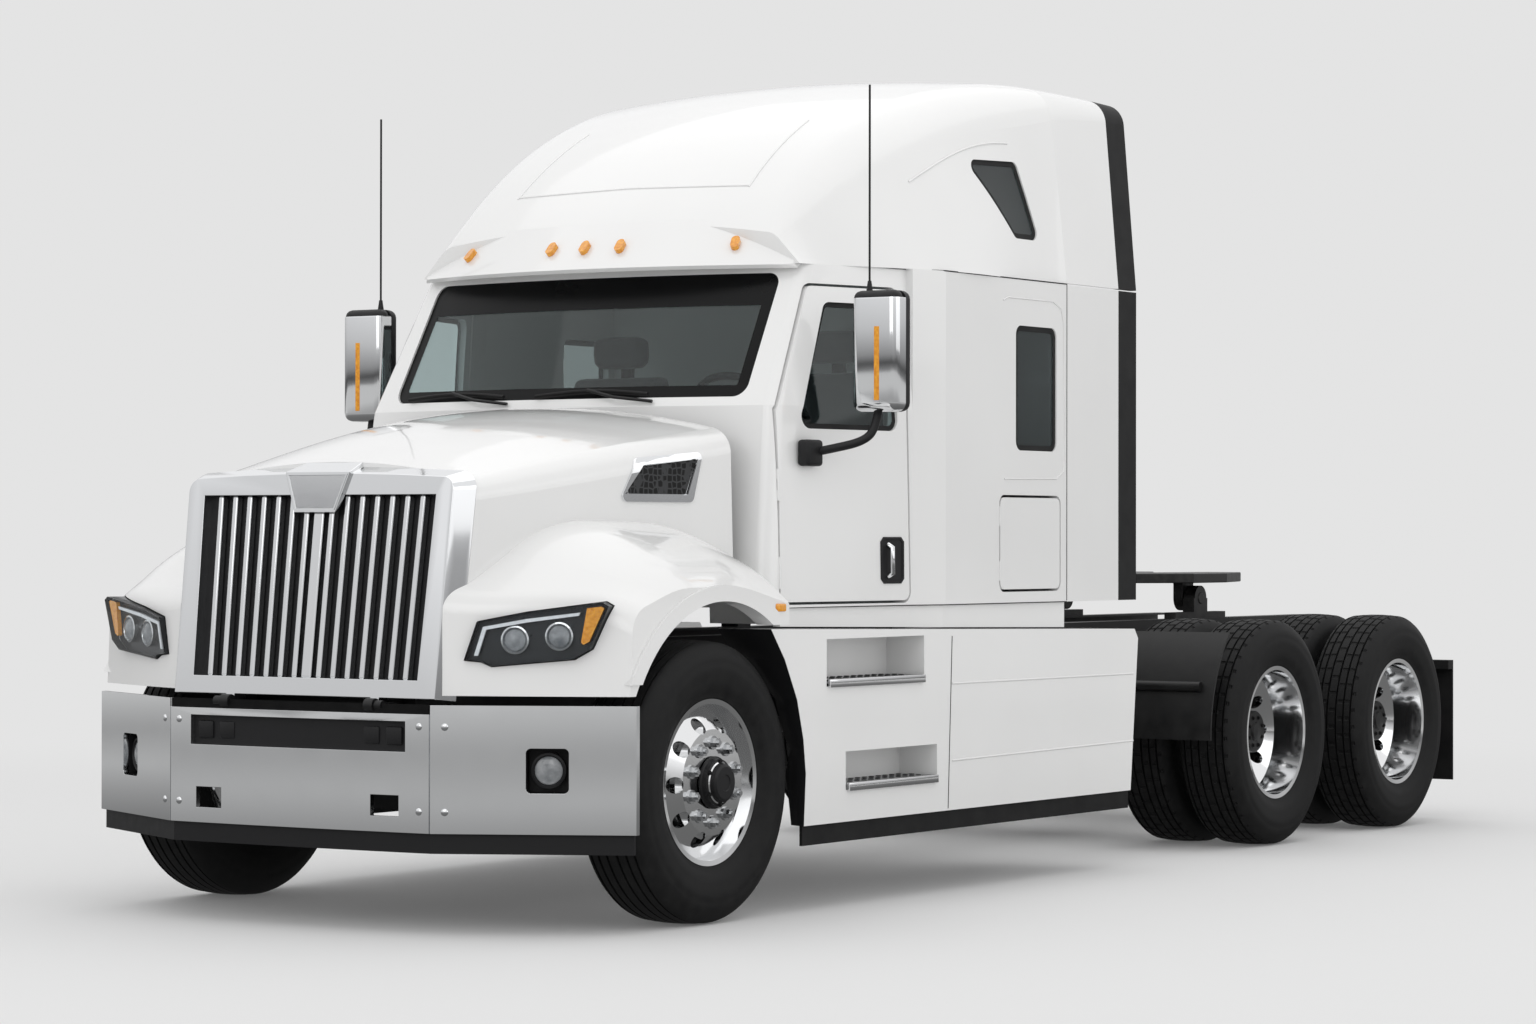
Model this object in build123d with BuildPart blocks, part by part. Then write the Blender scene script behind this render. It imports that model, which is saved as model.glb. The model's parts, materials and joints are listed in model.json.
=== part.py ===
from build123d import *
import os
from math import asin, atan2, cos, degrees, radians, sin

# A highway semi truck tractor unit: sleeper cab, tilting hood, three axles and a fifth wheel.
# Millimetres. The truck stands on z = 0, faces -Y, and +X is its left, the driver's side.
# Lengths named "y" count rearwards from the front axle; at() turns them into the part's frame.

# ---------------------------------------------------------------- wheelbase and overall size
front_overhang = 915
wheelbase = 4510
tandem_spacing = 1321
rear_overhang = 754
overall_length = front_overhang + wheelbase + tandem_spacing + rear_overhang
front_axle_y = front_overhang - overall_length / 2


def at(y):
    """A place y behind the front axle, in the part's frame."""
    return front_axle_y + y


drive_axle_ys = (wheelbase, wheelbase + tandem_spacing)

# ---------------------------------------------------------------- tyres and rims
tyre_radius = 508
tyre_width = 286
tread_width = 226
shoulder_drop = 16
rim_seat_radius = 286
rim_flange_radius = 298.5
rim_width = 228
rim_barrel_wall = 12
disc_outset = 122
disc_wall = 22
disc_bore_radius = 85
hand_hole_radius = 29
hand_hole_ring = 212
hand_hole_count = 10
fit_gap = 0.3
cut_margin = 5
scrap_volume = 100
axle_height = tyre_radius

front_wheel_x = 1048.5
outer_dual_x = 1089
dual_spacing = 330

# ---------------------------------------------------------------- axles, knuckles and drums
kingpin_x = 920
kingpin_radius = 24
kingpin_boss_radius = 46
kingpin_boss_height = 120
spindle_radius = 42
drum_radius = 205
drum_width = 150
drum_wall = 14
hub_radius = 78
bearing_gap = 0.08
moving_gap = 8
axle_beam_drop = 90
axle_beam_height = 110
axle_beam_depth = 96
axle_tube_radius = 72
differential_radius = 205
driveshaft_radius = 55

# ---------------------------------------------------------------- ladder frame
rail_x = 430
rail_height = 270
rail_flange = 85
rail_wall = 10
frame_top_z = 1000
frame_front_y = -770
frame_rear_y = 6470
crossmember_length = 80
crossmember_low = 40
crossmember_high = 60
rail_closed_end = 60
horn_depth = 90
crossmember_ys = (-650, 900, 2000, 3100, 4050, 5170, 6380)

# ---------------------------------------------------------------- cab and sleeper
body_bottom_z = 1120
belt_z = 1880
roof_seam_z = 2430
cab_front_y = 556
cab_rear_y = 1500
cab_wall = 45
cab_corner_radius = 70
# height, middle front y, front corner x, front corner y, half width at the rear
cab_foot = (body_bottom_z, cab_front_y, 1005, 606, 1100)
cab_belt = (belt_z, 600, 965, 722, 1100)
cab_top = (roof_seam_z, 905, 905, 1030, 1066)
cab_half_width = cab_foot[-1]
windshield_half_width = 838
windshield_margin = 34
glass_inset = 10
glass_wall = 6
sleeper_flare_y = 1670
sleeper_rear_y = 2650
sleeper_half_width = 1150
sleeper_lap = 20
sill_inset = 12
sill_wall = 30
sill_front_y = 700
sill_gap = 6
floor_wall = 40

door_gap = 10
door_front_y = 692
door_pillar_y = 735
door_pillar_z = 1862
door_top_front_y = 1012
door_top_z = 2345
door_rear_y = 1482
door_top_rear_y = 1450
door_bottom_z = 1140
door_corner_radius = 35
window_front_y = 838
window_top_front_y = 1078
window_rear_y = 1412
window_bottom_z = 1795
window_top_z = 2285
window_corner_radius = 45

# foot and head of each door hinge: z, and the hinge line through the middle of the door's front gap
door_hinge_rows = ((1190, 1310), (1520, 1640))
door_hinge_foot = (1009.5, 690.6, 1200)
door_hinge_head = (987.4, 712, 1560)
hinge_knuckle_radius = 4.5
hinge_core_radius = 2.5
hinge_leaf_wall = 5
hinge_leaf_reach = 6
hatch_hinge_rows = ((1210, 1290), (1430, 1510))

hatch_front_y = 2100
hatch_rear_y = 2590
hatch_bottom_z = 1175
hatch_top_z = 1545
sleeper_window_front_y = 2225
sleeper_window_rear_y = 2562
sleeper_window_bottom_z = 1736
sleeper_window_top_z = 2242

# ---------------------------------------------------------------- roof fairing and visor
roof_wall = 30
# y, half width at the seam, half width at the shoulder, crown height, shoulder radius
roof_sections = (
    (985, 905, 790, 2610, 90),
    (1250, 985, 820, 2850, 200),
    (1660, 1135, 880, 3090, 260),
    (2120, 1150, 960, 3245, 250),
    (2650, 1150, 1065, 3300, 160),
)
extender_rear_y = 3100
edge_strip_rear_y = 3260
extender_wall = 30
extender_reach = 250
extender_rear_z = 3290
visor_tip_y = 775
visor_tip_z = 2425
visor_rise_y = 170
visor_top_z = 2612
visor_bow_radius = 2100
visor_wall = 26
visor_depth = 330
visor_lip = 95
visor_crest = 8
# the rounded form that ends the brim at the sides: y, half width low and high, bottom, shoulder, crown, radius
visor_ends = (
    (740, 905, 850, 2380, 2440, 2520, 60),
    (1000, 908, 850, 2380, 2510, 2660, 90),
    (1320, 975, 850, 2380, 2570, 2720, 110),
)
visor_end_half = 908
visor_end_radius = 120

# ---------------------------------------------------------------- hood and grille
hood_wall = 18
hood_gap = 14
hood_rear_y = cab_front_y - hood_gap
# y, half width low, half width at the shoulder, shoulder height, crown height, shoulder radius
hood_sections = (
    (-800, 628, 630, 1560, 1612, 70),
    (-200, 765, 750, 1655, 1790, 110),
    (hood_rear_y, 905, 885, 1775, 1878, 100),
)
hood_bottom_z = 1000
fascia_bottom_z = 832
# x, front y, lamp top height, crown front y, crown height, crown rear y, tail y, tail top height
fender_sections = (
    (600, -846, 1180, -420, 1430, 180, 452, 1340),
    (900, -716, 1165, -380, 1415, 180, 452, 1330),
    (1120, -606, 1150, -310, 1290, 170, 452, 1215),
    (1205, -560, 1120, -260, 1205, 150, 452, 1140),
)
fender_root_x = fender_sections[0][0]
fender_side_x = fender_sections[-1][0]
loose_edge_ys = (-830, -390)
fender_tail_z = 1065
fender_brow_radius = 110
fender_crown_radius = 600
arch_centre_y = 10
arch_centre_z = 550
arch_radius = 605
arch_lip_width = 58
arch_lip_proud = 12
arch_lip_depth = 60
wheel_bay_x = 560
hinge_y = -890
hinge_z = 795
hinge_pin_radius = 14
hinge_x = 330
hinge_width = 40
hinge_eye_wall = 10
hinge_lug_height = 34
hinge_lug_depth = 50
hinge_arm_wall = 30

grille_lean = 7.1
grille_base_y = -872
grille_base_z = 820
# depth behind the grille plane, half width at the bottom and the top, height at the corners and the middle
surround_front = (0, 594, 606, 778, 796)
surround_back = (78, 630, 650, 808, 830)
surround_corner_radius = 48
surround_depth = surround_back[0]
# the blank plate over the opening: half width and height at its foot, its brow and its tail
plate_rows = ((94, 654), (148, 800), (120, 860))
plate_proud = 12
plate_back = -8
plate_tail_height = 846
opening_bottom_half = 512
opening_top_half = 531
opening_bottom = 64
opening_height = 654
grille_bar_count = 7
grille_bar_width = 24
grille_bar_depth = 34
grille_bar_recess = 12
grille_centre_bar = 46
grille_screen_wall = 8

# ---------------------------------------------------------------- headlights and vents
lamp_origin_x = 620
lamp_origin_y = -848
lamp_sweep = 22.8
lamp_depth = 110
lamp_gap = 4
lamp_proud = 6
lamp_seam_depth = 8
# distance along the swept face, height
lamp_outline = (
    (70, 957), (115, 1088), (291, 1122), (561, 1158), (585, 1145), (520, 998), (458, 962), (165, 936), (128, 952),
)
vent_outline = ((-40, 1512), (58, 1672), (388, 1700), (330, 1512))
vent_frame = 26
vent_corner_radius = 22
vent_proud = 8
vent_wall = 14

# ---------------------------------------------------------------- bumper
bumper_bottom_z = 355
bumper_top_z = 800
bumper_centre_top_z = 768
bumper_front_y = -front_overhang
bumper_seam_x = 592
bumper_seam_y = -897
bumper_end_x = 1233
bumper_end_y = -562
bumper_wall = 22
seam_width = 4
seam_depth = 7
slot_half_width = 490
slot_bottom_z = 636
slot_top_z = 742
slot_screen_wall = 12
tow_slot_x = 402
tow_slot_z = 447
tow_slot_width = 122
tow_slot_height = 74
fog_x = 958
fog_z = 575
fog_width = 150
fog_height = 155
fog_depth = 70
fog_wall = 10
valance_bottom_z = 285
valance_inset = 16
bumper_bracket_top_z = 620
bumper_bracket_bottom_z = 500

# ---------------------------------------------------------------- skirts, steps and tanks
skirt_x = 1220
skirt_wall = 24
skirt_bottom_z = 322
skirt_depth = 230
# y, z up the front edge and down the rear edge
skirt_front = ((530, 322), (543, 513), (526, 642), (483, 789), (400, 937), (308, 1050))
skirt_rear = ((3115, 1000), (3146, 960), (3080, 322))
strip_bottom_z = 248
strip_wall = 12
# radius and height of the space that a steered tyre sweeps round its kingpin
steer_sweep = ((0, 0), (600, 0), (600, 600), (540, 790), (440, 930), (320, 1030), (0, 1030))
# front y, rear y, tread height, pocket height
step_rows = ((685, 1389, 856, 150), (819, 1487, 466, 118))
step_depth = 170
tread_wall = 26
tread_gap = 4
tank_radius = 285
tank_x = 800
tank_z = 680
tank_front_y = 1620
tank_rear_y = 3000
bracket_wall = 30
beam_ys = (632, 1545)
beam_bottom_z = 720
beam_top_z = 790
saddle_ys = (1720, 2300, 2880)
saddle_bottom_z = 345
cab_mount_ys = (610, 2500)
cab_mount_length = 100
horn_bottom_z = 480

# ---------------------------------------------------------------- rear equipment
quarter_radius = 650
quarter_wall = 10
quarter_angles = (136, 181)
quarter_tube_angle = 20
quarter_inner_x = 600
quarter_outer_x = 1205
flap_y = wheelbase + tandem_spacing + rear_overhang
flap_wall = 12
flap_inner_x = 620
flap_outer_x = 1160
flap_top_z = 737
flap_bottom_z = 190
hanger_radius = 22
fifth_y = 5300
fifth_top_z = 1215
fifth_plate_wall = 46
fifth_half_width = 480
fifth_front_reach = 430
fifth_rear_reach = 610
fifth_throat_half = 50.8 / 2 + 1.5
fifth_pivot_z = 1095
fifth_pin_radius = 28
fifth_eye_radius = 60
fifth_bracket_wall = 60
tail_lamp = (110, 60, 40)
tail_lamp_z = 840

# ---------------------------------------------------------------- cabin furniture
seat_x = 520
seat_y = 1640
seat_width = 520
seat_depth = 520
seat_height = 1560
cushion_wall = 150
seat_back_height = 680
seat_back_wall = 130
bunk_front_y = 1960
bunk_shelf_z = 1560
bunk_wall = 24
mattress_wall = 150
mattress_gap = 20
dash_depth = 330
dash_top_z = 1850
dash_bottom_z = 1420
dash_ledge_half = 700
dash_ledge_wall = 60
dash_half = 798
steering_wheel_radius = 225
steering_wheel_tube = 15
column_length = 430

parts = {}


def keep(name, piece):
    """Label a finished piece and put it on the list of files to write."""
    piece.part.label = name
    parts[name] = piece.part


def drop_scraps(piece):
    """Remove the crumbs that a cut leaves where two faces nearly meet."""
    for scrap in [solid for solid in piece.solids() if solid.volume < scrap_volume]:
        add(scrap, mode=Mode.SUBTRACT)


def body_section(y, half_bottom, half_shoulder, z_bottom, z_shoulder, z_crown, radius, inset=0):
    """One upright cross-section: flat bottom, leaning sides, rounded shoulders and a crowned top."""
    low = half_bottom - inset
    high = half_shoulder - inset
    top = z_shoulder - inset
    with BuildSketch(Plane.XZ.offset(-at(y))) as section:
        with BuildLine():
            Line((-low, z_bottom), (low, z_bottom))
            Line((low, z_bottom), (high, top))
            ThreePointArc((high, top), (0, z_crown - inset), (-high, top))
            Line((-high, top), (-low, z_bottom))
        make_face()
        fillet(section.vertices().group_by(Axis.Y)[-1], radius - min(inset, radius / 2))
    return section.sketch


def plan_section(z, front_y, corner_x, corner_y, rear_half, inset=0):
    """One level cross-section of the cab: bowed front, rounded front corners, sides widening rearwards."""
    back = at(cab_rear_y)
    corner = (corner_x - inset, at(corner_y) + inset)
    with BuildSketch(Plane.XY.offset(z)) as section:
        with BuildLine():
            Line((inset - rear_half, back), (rear_half - inset, back))
            Line((rear_half - inset, back), corner)
            ThreePointArc(corner, (0, at(front_y) + inset), (-corner[0], corner[1]))
            Line((-corner[0], corner[1]), (inset - rear_half, back))
        make_face()
        fillet(section.vertices().group_by(Axis.Y)[0], cab_corner_radius)
    return section.sketch


# ---------------------------------------------------------------- body forms shared by shell, doors and glass
def cab_form(low, high, inset=0):
    """The cab's outer form between two level sections, or a smaller one inside it."""
    return loft(sections=[plan_section(*low, inset), plan_section(*high, inset)], ruled=True, mode=Mode.PRIVATE)


def cab_level(low, high, z):
    """The cab's level section at a height between two given ones."""
    share = (z - low[0]) / (high[0] - low[0])
    return tuple(start + share * (end - start) for start, end in zip(low, high))


def cab_solid(inset=0):
    """The whole cab form: upright below the windshield, leaning back above."""
    return cab_form(cab_foot, cab_belt, inset) + cab_form(cab_belt, cab_top, inset)


def roof_form(inset=0, bottom=roof_seam_z, rows=roof_sections):
    """The roof fairing's outer form, or a smaller one inside it."""
    sections = [
        body_section(y, low, high, bottom, crown - 60, crown, radius, inset)
        for y, low, high, crown, radius in rows
    ]
    return loft(sections=sections, mode=Mode.PRIVATE)


def side_prism(points, corner_radius, x_low, x_high, sharp_z=None):
    """A prism along X whose outline is given as y, z points; a bend at the height sharp_z stays sharp."""
    with BuildPart(mode=Mode.PRIVATE) as prism:
        with BuildSketch(Plane.YZ.offset(x_low)) as outline:
            with BuildLine():
                Polyline([(at(y), z) for y, z in points], close=True)
            make_face()
            if corner_radius:
                fillet([corner for corner in outline.vertices() if corner.Y != sharp_z], corner_radius)
        extrude(amount=x_high - x_low)
    return prism.part


def block(x_low, x_high, y_low, y_high, z_low, z_high):
    """A plain block between two corners, y counted from the front axle."""
    size = (x_high - x_low, y_high - y_low, z_high - z_low)
    centre = ((x_high + x_low) / 2, at((y_high + y_low) / 2), (z_high + z_low) / 2)
    return Pos(*centre) * Box(*size, mode=Mode.PRIVATE)


def x_cylinder(radius, x_low, x_high, y, z):
    """A cylinder along X."""
    length = x_high - x_low
    return Pos((x_low + x_high) / 2, at(y), z) * Rot(0, 90, 0) * Cylinder(radius, length, mode=Mode.PRIVATE)


def door_points(grow=0):
    return (
        (door_front_y - grow, door_bottom_z - grow),
        (door_pillar_y - grow, door_pillar_z + grow / 2),
        (door_top_front_y - grow, door_top_z + grow),
        (door_top_rear_y + grow, door_top_z + grow),
        (door_rear_y + grow, door_bottom_z - grow),
    )


def door_prism(grow=0):
    """The left door's outline as a prism, or its opening when grown."""
    return side_prism(door_points(grow), door_corner_radius + grow, 700, 1200, door_pillar_z + grow / 2)


def window_points():
    return (
        (window_front_y, window_bottom_z),
        (window_top_front_y, window_top_z),
        (window_rear_y - 15, window_top_z),
        (window_rear_y, window_bottom_z),
    )


def windshield_prism(grow=0):
    """A prism along Y through the windshield opening."""
    low = belt_z + windshield_margin - grow
    high = roof_seam_z - windshield_margin + grow
    half = windshield_half_width + grow
    with BuildPart(mode=Mode.PRIVATE) as prism:
        with BuildSketch(Plane.XZ.offset(-at(cab_front_y))) as outline:
            with BuildLine():
                Polyline([(-half, low), (half, low), (half - 15, high), (15 - half, high)], close=True)
            make_face()
            fillet(outline.vertices(), 50 + grow)
        extrude(amount=-700)
    return prism.part


# ---------------------------------------------------------------- cab shell, with its door and glass openings
with BuildPart() as cab_shell:
    add(cab_solid())
    add(cab_solid(cab_wall) - block(-1200, 1200, 0, cab_rear_y + 10, 0, body_bottom_z + floor_wall),
        mode=Mode.SUBTRACT)
    add(windshield_prism(), mode=Mode.SUBTRACT)
    for side in (1, -1):
        opening = door_prism(door_gap)
        add(opening if side > 0 else opening.mirror(Plane.YZ), mode=Mode.SUBTRACT)
keep("cab_shell", cab_shell)

# ---------------------------------------------------------------- sleeper shell with luggage openings
hatch_points = (
    (hatch_front_y, hatch_bottom_z),
    (hatch_front_y, hatch_top_z),
    (hatch_rear_y, hatch_top_z),
    (hatch_rear_y, hatch_bottom_z),
)
sleeper_window_points = (
    (sleeper_window_front_y, sleeper_window_bottom_z),
    (sleeper_window_front_y, sleeper_window_top_z),
    (sleeper_window_rear_y, sleeper_window_top_z),
    (sleeper_window_rear_y, sleeper_window_bottom_z),
)


def sleeper_plan(inset):
    """Half plan outline of the sleeper as x, y points, flared behind the doors."""
    return (
        (0, cab_rear_y - (inset > 0) * sleeper_lap),
        (cab_half_width - inset, cab_rear_y - (inset > 0) * sleeper_lap),
        (sleeper_half_width - inset, sleeper_flare_y),
        (sleeper_half_width - inset, sleeper_rear_y - inset),
        (0, sleeper_rear_y - inset),
    )


with BuildPart() as sleeper_shell:
    for inset, low, mode in ((0, body_bottom_z, Mode.ADD), (cab_wall, body_bottom_z + floor_wall, Mode.SUBTRACT)):
        with BuildSketch(Plane.XY.offset(low)) as plan:
            with BuildLine():
                Polyline([(x, at(y)) for x, y in sleeper_plan(inset)], close=True)
            make_face()
            mirror(about=Plane.YZ)
        extrude(amount=roof_seam_z - low + (inset > 0), mode=mode)
    for side in (1, -1):
        for points, radius, grow in ((hatch_points, 30, door_gap), (sleeper_window_points, 40, 0)):
            (front, low), (_, high), (rear, _), _ = points
            grown = ((front - grow, low - grow), (front - grow, high + grow), (rear + grow, high + grow),
                     (rear + grow, low - grow))
            opening = side_prism(grown, radius + grow, 1000, 1250)
            add(opening if side > 0 else opening.mirror(Plane.YZ), mode=Mode.SUBTRACT)
    inner_half = sleeper_half_width - cab_wall
    shelf_top = bunk_shelf_z + bunk_wall
    add(block(-inner_half, inner_half, bunk_front_y, sleeper_rear_y - cab_wall, bunk_shelf_z, shelf_top))
    add(block(-inner_half, inner_half, bunk_front_y, bunk_front_y + bunk_wall, body_bottom_z + floor_wall, shelf_top))
keep("sleeper_shell", sleeper_shell)

# ---------------------------------------------------------------- sill panels under the cab and the sleeper
def skirt_top(y):
    """The height of the skirt's sloping top edge."""
    (front_y, front_z), (rear_y, rear_z) = skirt_front[-1], skirt_rear[0]
    return front_z + (y - front_y) / (rear_y - front_y) * (rear_z - front_z)


with BuildPart() as sills:
    sill_share = (sill_front_y - cab_foot[3]) / (cab_rear_y - cab_foot[3])
    sill_front_x = cab_foot[2] + sill_share * (cab_foot[4] - cab_foot[2])
    sill_line = ((sill_front_x, sill_front_y), (cab_half_width, cab_rear_y), (sleeper_half_width, sleeper_flare_y),
                 (sleeper_half_width, sleeper_rear_y))
    with BuildSketch(Plane.XY.offset(skirt_top(sleeper_rear_y))):
        with BuildLine():
            Polyline([(x - sill_inset, at(y)) for x, y in sill_line]
                     + [(x - sill_inset - sill_wall, at(y)) for x, y in reversed(sill_line)], close=True)
        make_face()
        mirror(about=Plane.YZ)
    extrude(amount=body_bottom_z - skirt_top(sleeper_rear_y))
    sill_side = [(y, skirt_top(y) + sill_gap) for y in (sill_front_y, sleeper_rear_y)]
    sill_side += [(sleeper_rear_y, body_bottom_z), (sill_front_y, body_bottom_z)]
    add(side_prism(sill_side, 0, -cab_half_width - 100, cab_half_width + 100), mode=Mode.INTERSECT)
keep("sills", sills)

# ---------------------------------------------------------------- roof fairing with visor brim
trapezoid_points = ((2025, 2905), (2385, 2918), (2500, 2600), (2310, 2600))


def both_sides(shape):
    """The shape and its mirror image across the truck's centre plane."""
    return (shape, shape.mirror(Plane.YZ))


def roof_hollow(inset):
    """The space inside the roof fairing, closed at its front and back."""
    front = roof_sections[0][0]
    rear = roof_sections[-1][0]
    keep_block = block(-1300, 1300, front + inset, rear - inset, roof_seam_z - 5, 4000)
    return roof_form(inset, roof_seam_z - 1) & keep_block


with BuildPart(mode=Mode.PRIVATE) as visor:
    with BuildSketch(Plane.YZ):
        with BuildLine():
            Polyline(
                [
                    (at(visor_tip_y), visor_tip_z),
                    (at(visor_tip_y + visor_rise_y), visor_top_z),
                    (at(visor_tip_y + visor_depth), visor_top_z + visor_crest),
                    (at(visor_tip_y + visor_depth), roof_seam_z + visor_wall),
                    (at(visor_tip_y + visor_lip), roof_seam_z + visor_wall),
                    (at(visor_tip_y + visor_wall / 2), visor_tip_z - visor_wall / 2),
                ],
                close=True,
            )
        make_face()
    visor_turn = degrees(asin((visor_end_half + 20) / visor_bow_radius))
    revolve(axis=Axis((0, at(visor_tip_y + visor_bow_radius), 0), (0, 0, 1)), revolution_arc=visor_turn)
    mirror(about=Plane.YZ)
    end_y = visor_tip_y + visor_bow_radius - visor_bow_radius * cos(asin(visor_end_half / visor_bow_radius))
    with BuildSketch(Plane.XY.offset(visor_ends[0][3])) as visor_plan:
        with BuildLine():
            Polyline([(-visor_end_half, at(end_y)), (-visor_ends[-1][1], at(visor_ends[-1][0])),
                      (visor_ends[-1][1], at(visor_ends[-1][0])), (visor_end_half, at(end_y))])
            ThreePointArc((visor_end_half, at(end_y)), (0, at(visor_tip_y)), (-visor_end_half, at(end_y)))
        make_face()
        fillet(visor_plan.vertices().filter_by(lambda corner: abs(corner.Y - at(end_y)) < 1), visor_end_radius)
    extrude(amount=visor_ends[-1][5] - visor_ends[0][3], mode=Mode.INTERSECT)
    add(loft(sections=[body_section(*row) for row in visor_ends], ruled=True, mode=Mode.PRIVATE), mode=Mode.INTERSECT)

with BuildPart() as roof_fairing:
    add(roof_form())
    add(visor.part)
    add(roof_hollow(roof_wall), mode=Mode.SUBTRACT)
    for window in both_sides(side_prism(trapezoid_points, 35, 900, 1250)):
        add(window, mode=Mode.SUBTRACT)
keep("roof_fairing", roof_fairing)

# ---------------------------------------------------------------- glass
with BuildPart() as cab_glass:
    pane = cab_form(cab_belt, cab_top, glass_inset) - cab_form(cab_belt, cab_top, glass_inset + glass_wall)
    add(pane & windshield_prism(-fit_gap))
    for window in both_sides(side_prism(sleeper_window_points, 40, sleeper_half_width - glass_inset - glass_wall,
                                        sleeper_half_width - glass_inset)):
        add(window)
    roof_pane = roof_form(glass_inset) - roof_form(glass_inset + glass_wall)
    for window in both_sides(side_prism(trapezoid_points, 35, 900, 1250)):
        add(roof_pane & window)
keep("cab_glass", cab_glass)

# ---------------------------------------------------------------- side extenders and their rubber edges
extender_rows = (
    (sleeper_rear_y, 1150, 1065, 3300, 160),
    (extender_rear_y, 1150, 1080, extender_rear_z, 110),
    (edge_strip_rear_y, 1150, 1083, extender_rear_z - 6, 100),
)


def extender_panel(front, rear, x_low):
    """Upper and lower extender walls of both sides between two places along the truck."""
    shell = roof_form(rows=extender_rows) - roof_form(extender_wall, roof_seam_z - 1, extender_rows)
    upper = shell & block(x_low, 1300, front, rear, roof_seam_z + 4, 4000)
    lower = block(sleeper_half_width - extender_wall, sleeper_half_width, front, rear, body_bottom_z, roof_seam_z - 4)
    return (upper, lower)


with BuildPart() as side_extenders:
    for panel in extender_panel(sleeper_rear_y, extender_rear_y, sleeper_half_width - extender_reach):
        for piece in both_sides(panel):
            add(piece)
keep("side_extenders", side_extenders)

# ---------------------------------------------------------------- hood shell with fenders
def fender_form(inset=0):
    """The left fender's outer form, or a smaller one inside it, lofted outwards from the hood."""
    sections = []
    for x, front, lamp_top, crown_front, crown, crown_rear, tail, tail_top in fender_sections:
        with BuildSketch(Plane.YZ.offset(x - (inset if x > fender_root_x else -inset))) as section:
            with BuildLine():
                Polyline(
                    [
                        (at(front + inset), fascia_bottom_z - (cut_margin if inset else 0)),
                        (at(front + inset + 15), lamp_top - inset),
                        (at(crown_front), crown - inset),
                        (at(crown_rear), crown - inset),
                        (at(tail - inset), tail_top - inset),
                        (at(tail - inset), fascia_bottom_z - (cut_margin if inset else 0)),
                    ],
                    close=True,
                )
            make_face()
            rising = [corner for corner in section.vertices().sort_by(Axis.X) if corner.Y > lamp_top - inset - 1]
            fillet(rising[0], fender_brow_radius - inset)
            fillet([corner for corner in section.vertices() if abs(corner.Y - crown + inset) < 1],
                   fender_crown_radius - inset)
        sections.append(section.sketch)
    return loft(sections=sections, mode=Mode.PRIVATE)


def hood_form(inset=0):
    """The hood's outer form between the grille and the windshield, or a smaller one inside it."""
    rows = []
    for y, low, high, shoulder, crown, radius in hood_sections:
        rows.append(body_section(y, low, high, hood_bottom_z - (cut_margin if inset else 0), shoulder, crown, radius, inset))
    return loft(sections=rows, mode=Mode.PRIVATE)


grille_plane = Plane(
    origin=(0, at(grille_base_y), grille_base_z),
    x_dir=(1, 0, 0),
    z_dir=(0, -cos(radians(grille_lean)), sin(radians(grille_lean))),
)
lamp_plane = Plane(
    origin=(lamp_origin_x, at(lamp_origin_y), 0),
    x_dir=(cos(radians(lamp_sweep)), sin(radians(lamp_sweep)), 0),
    z_dir=(sin(radians(lamp_sweep)), -cos(radians(lamp_sweep)), 0),
)


def lamp_block(grow, front, depth):
    """The left headlight's block, its front face proud of the swept lamp plane by front."""
    with BuildPart(mode=Mode.PRIVATE) as lamp:
        with BuildSketch(lamp_plane.offset(front)):
            with BuildLine():
                Polyline(lamp_outline, close=True)
            make_face()
            if grow:
                offset(amount=grow, kind=Kind.INTERSECTION)
        extrude(amount=-depth)
    return lamp.part


arch_axis = (arch_centre_y, arch_centre_z)


def arch_lip():
    """The raised band round the left wheel arch."""
    outer = x_cylinder(arch_radius + arch_lip_width, fender_side_x - arch_lip_depth, fender_side_x + arch_lip_proud,
                       *arch_axis)
    inner = x_cylinder(arch_radius, 1000, 1300, *arch_axis)
    return (outer - inner) & block(1000, 1300, -900, hood_rear_y - 4, fascia_bottom_z + 40, 2000)


vent_hole = side_prism(vent_outline, vent_corner_radius, 600, 1100)


def surround_outline(depth, bottom, top, corner, middle):
    """The surround's outline on a plane behind the leaning grille plane."""
    with BuildSketch(grille_plane.offset(-depth)) as outline:
        with BuildLine():
            Polyline([(-top, corner), (-bottom, 0), (bottom, 0), (top, corner)])
            ThreePointArc((top, corner), (0, middle), (-top, corner))
        make_face()
        fillet(outline.vertices().sort_by(Axis.Y)[-2:], surround_corner_radius + depth / 4)
    return outline.sketch


surround_form = loft(
    sections=[surround_outline(*surround_back), surround_outline(*surround_front)], ruled=True, mode=Mode.PRIVATE,
)


def on_grille(depth, height):
    """The y, z place of a point on the truck's centre plane, counted from the grille plane."""
    place = grille_plane.from_local_coords(Vector(0, height, -depth))
    return (place.Y - at(0), place.Z)


def blank_plate():
    """The plain raised plate over the middle of the grille, which runs back over the surround's top."""
    with BuildPart(mode=Mode.PRIVATE) as plate:
        with BuildSketch(grille_plane.offset(plate_proud)):
            with BuildLine():
                Polyline([(-half, height) for half, height in plate_rows]
                         + [(half, height) for half, height in reversed(plate_rows)], close=True)
            make_face()
        extrude(amount=-plate_proud - surround_depth)
    foot, brow = (height for _, height in plate_rows[:2])
    crest = opening_bottom + opening_height
    side = ((-plate_proud, foot - 1), (-plate_proud, brow), (surround_depth, plate_tail_height),
            (surround_depth, crest), (-plate_back, crest), (-plate_back, foot - 1))
    return plate.part & side_prism([on_grille(*point) for point in side], 0, -200, 200)


with BuildPart(mode=Mode.PRIVATE) as nose_cut:
    with BuildSketch(grille_plane.offset(-surround_depth)):
        with Locations((0, 500)):
            Rectangle(2000, 1400)
    extrude(amount=400)

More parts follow.
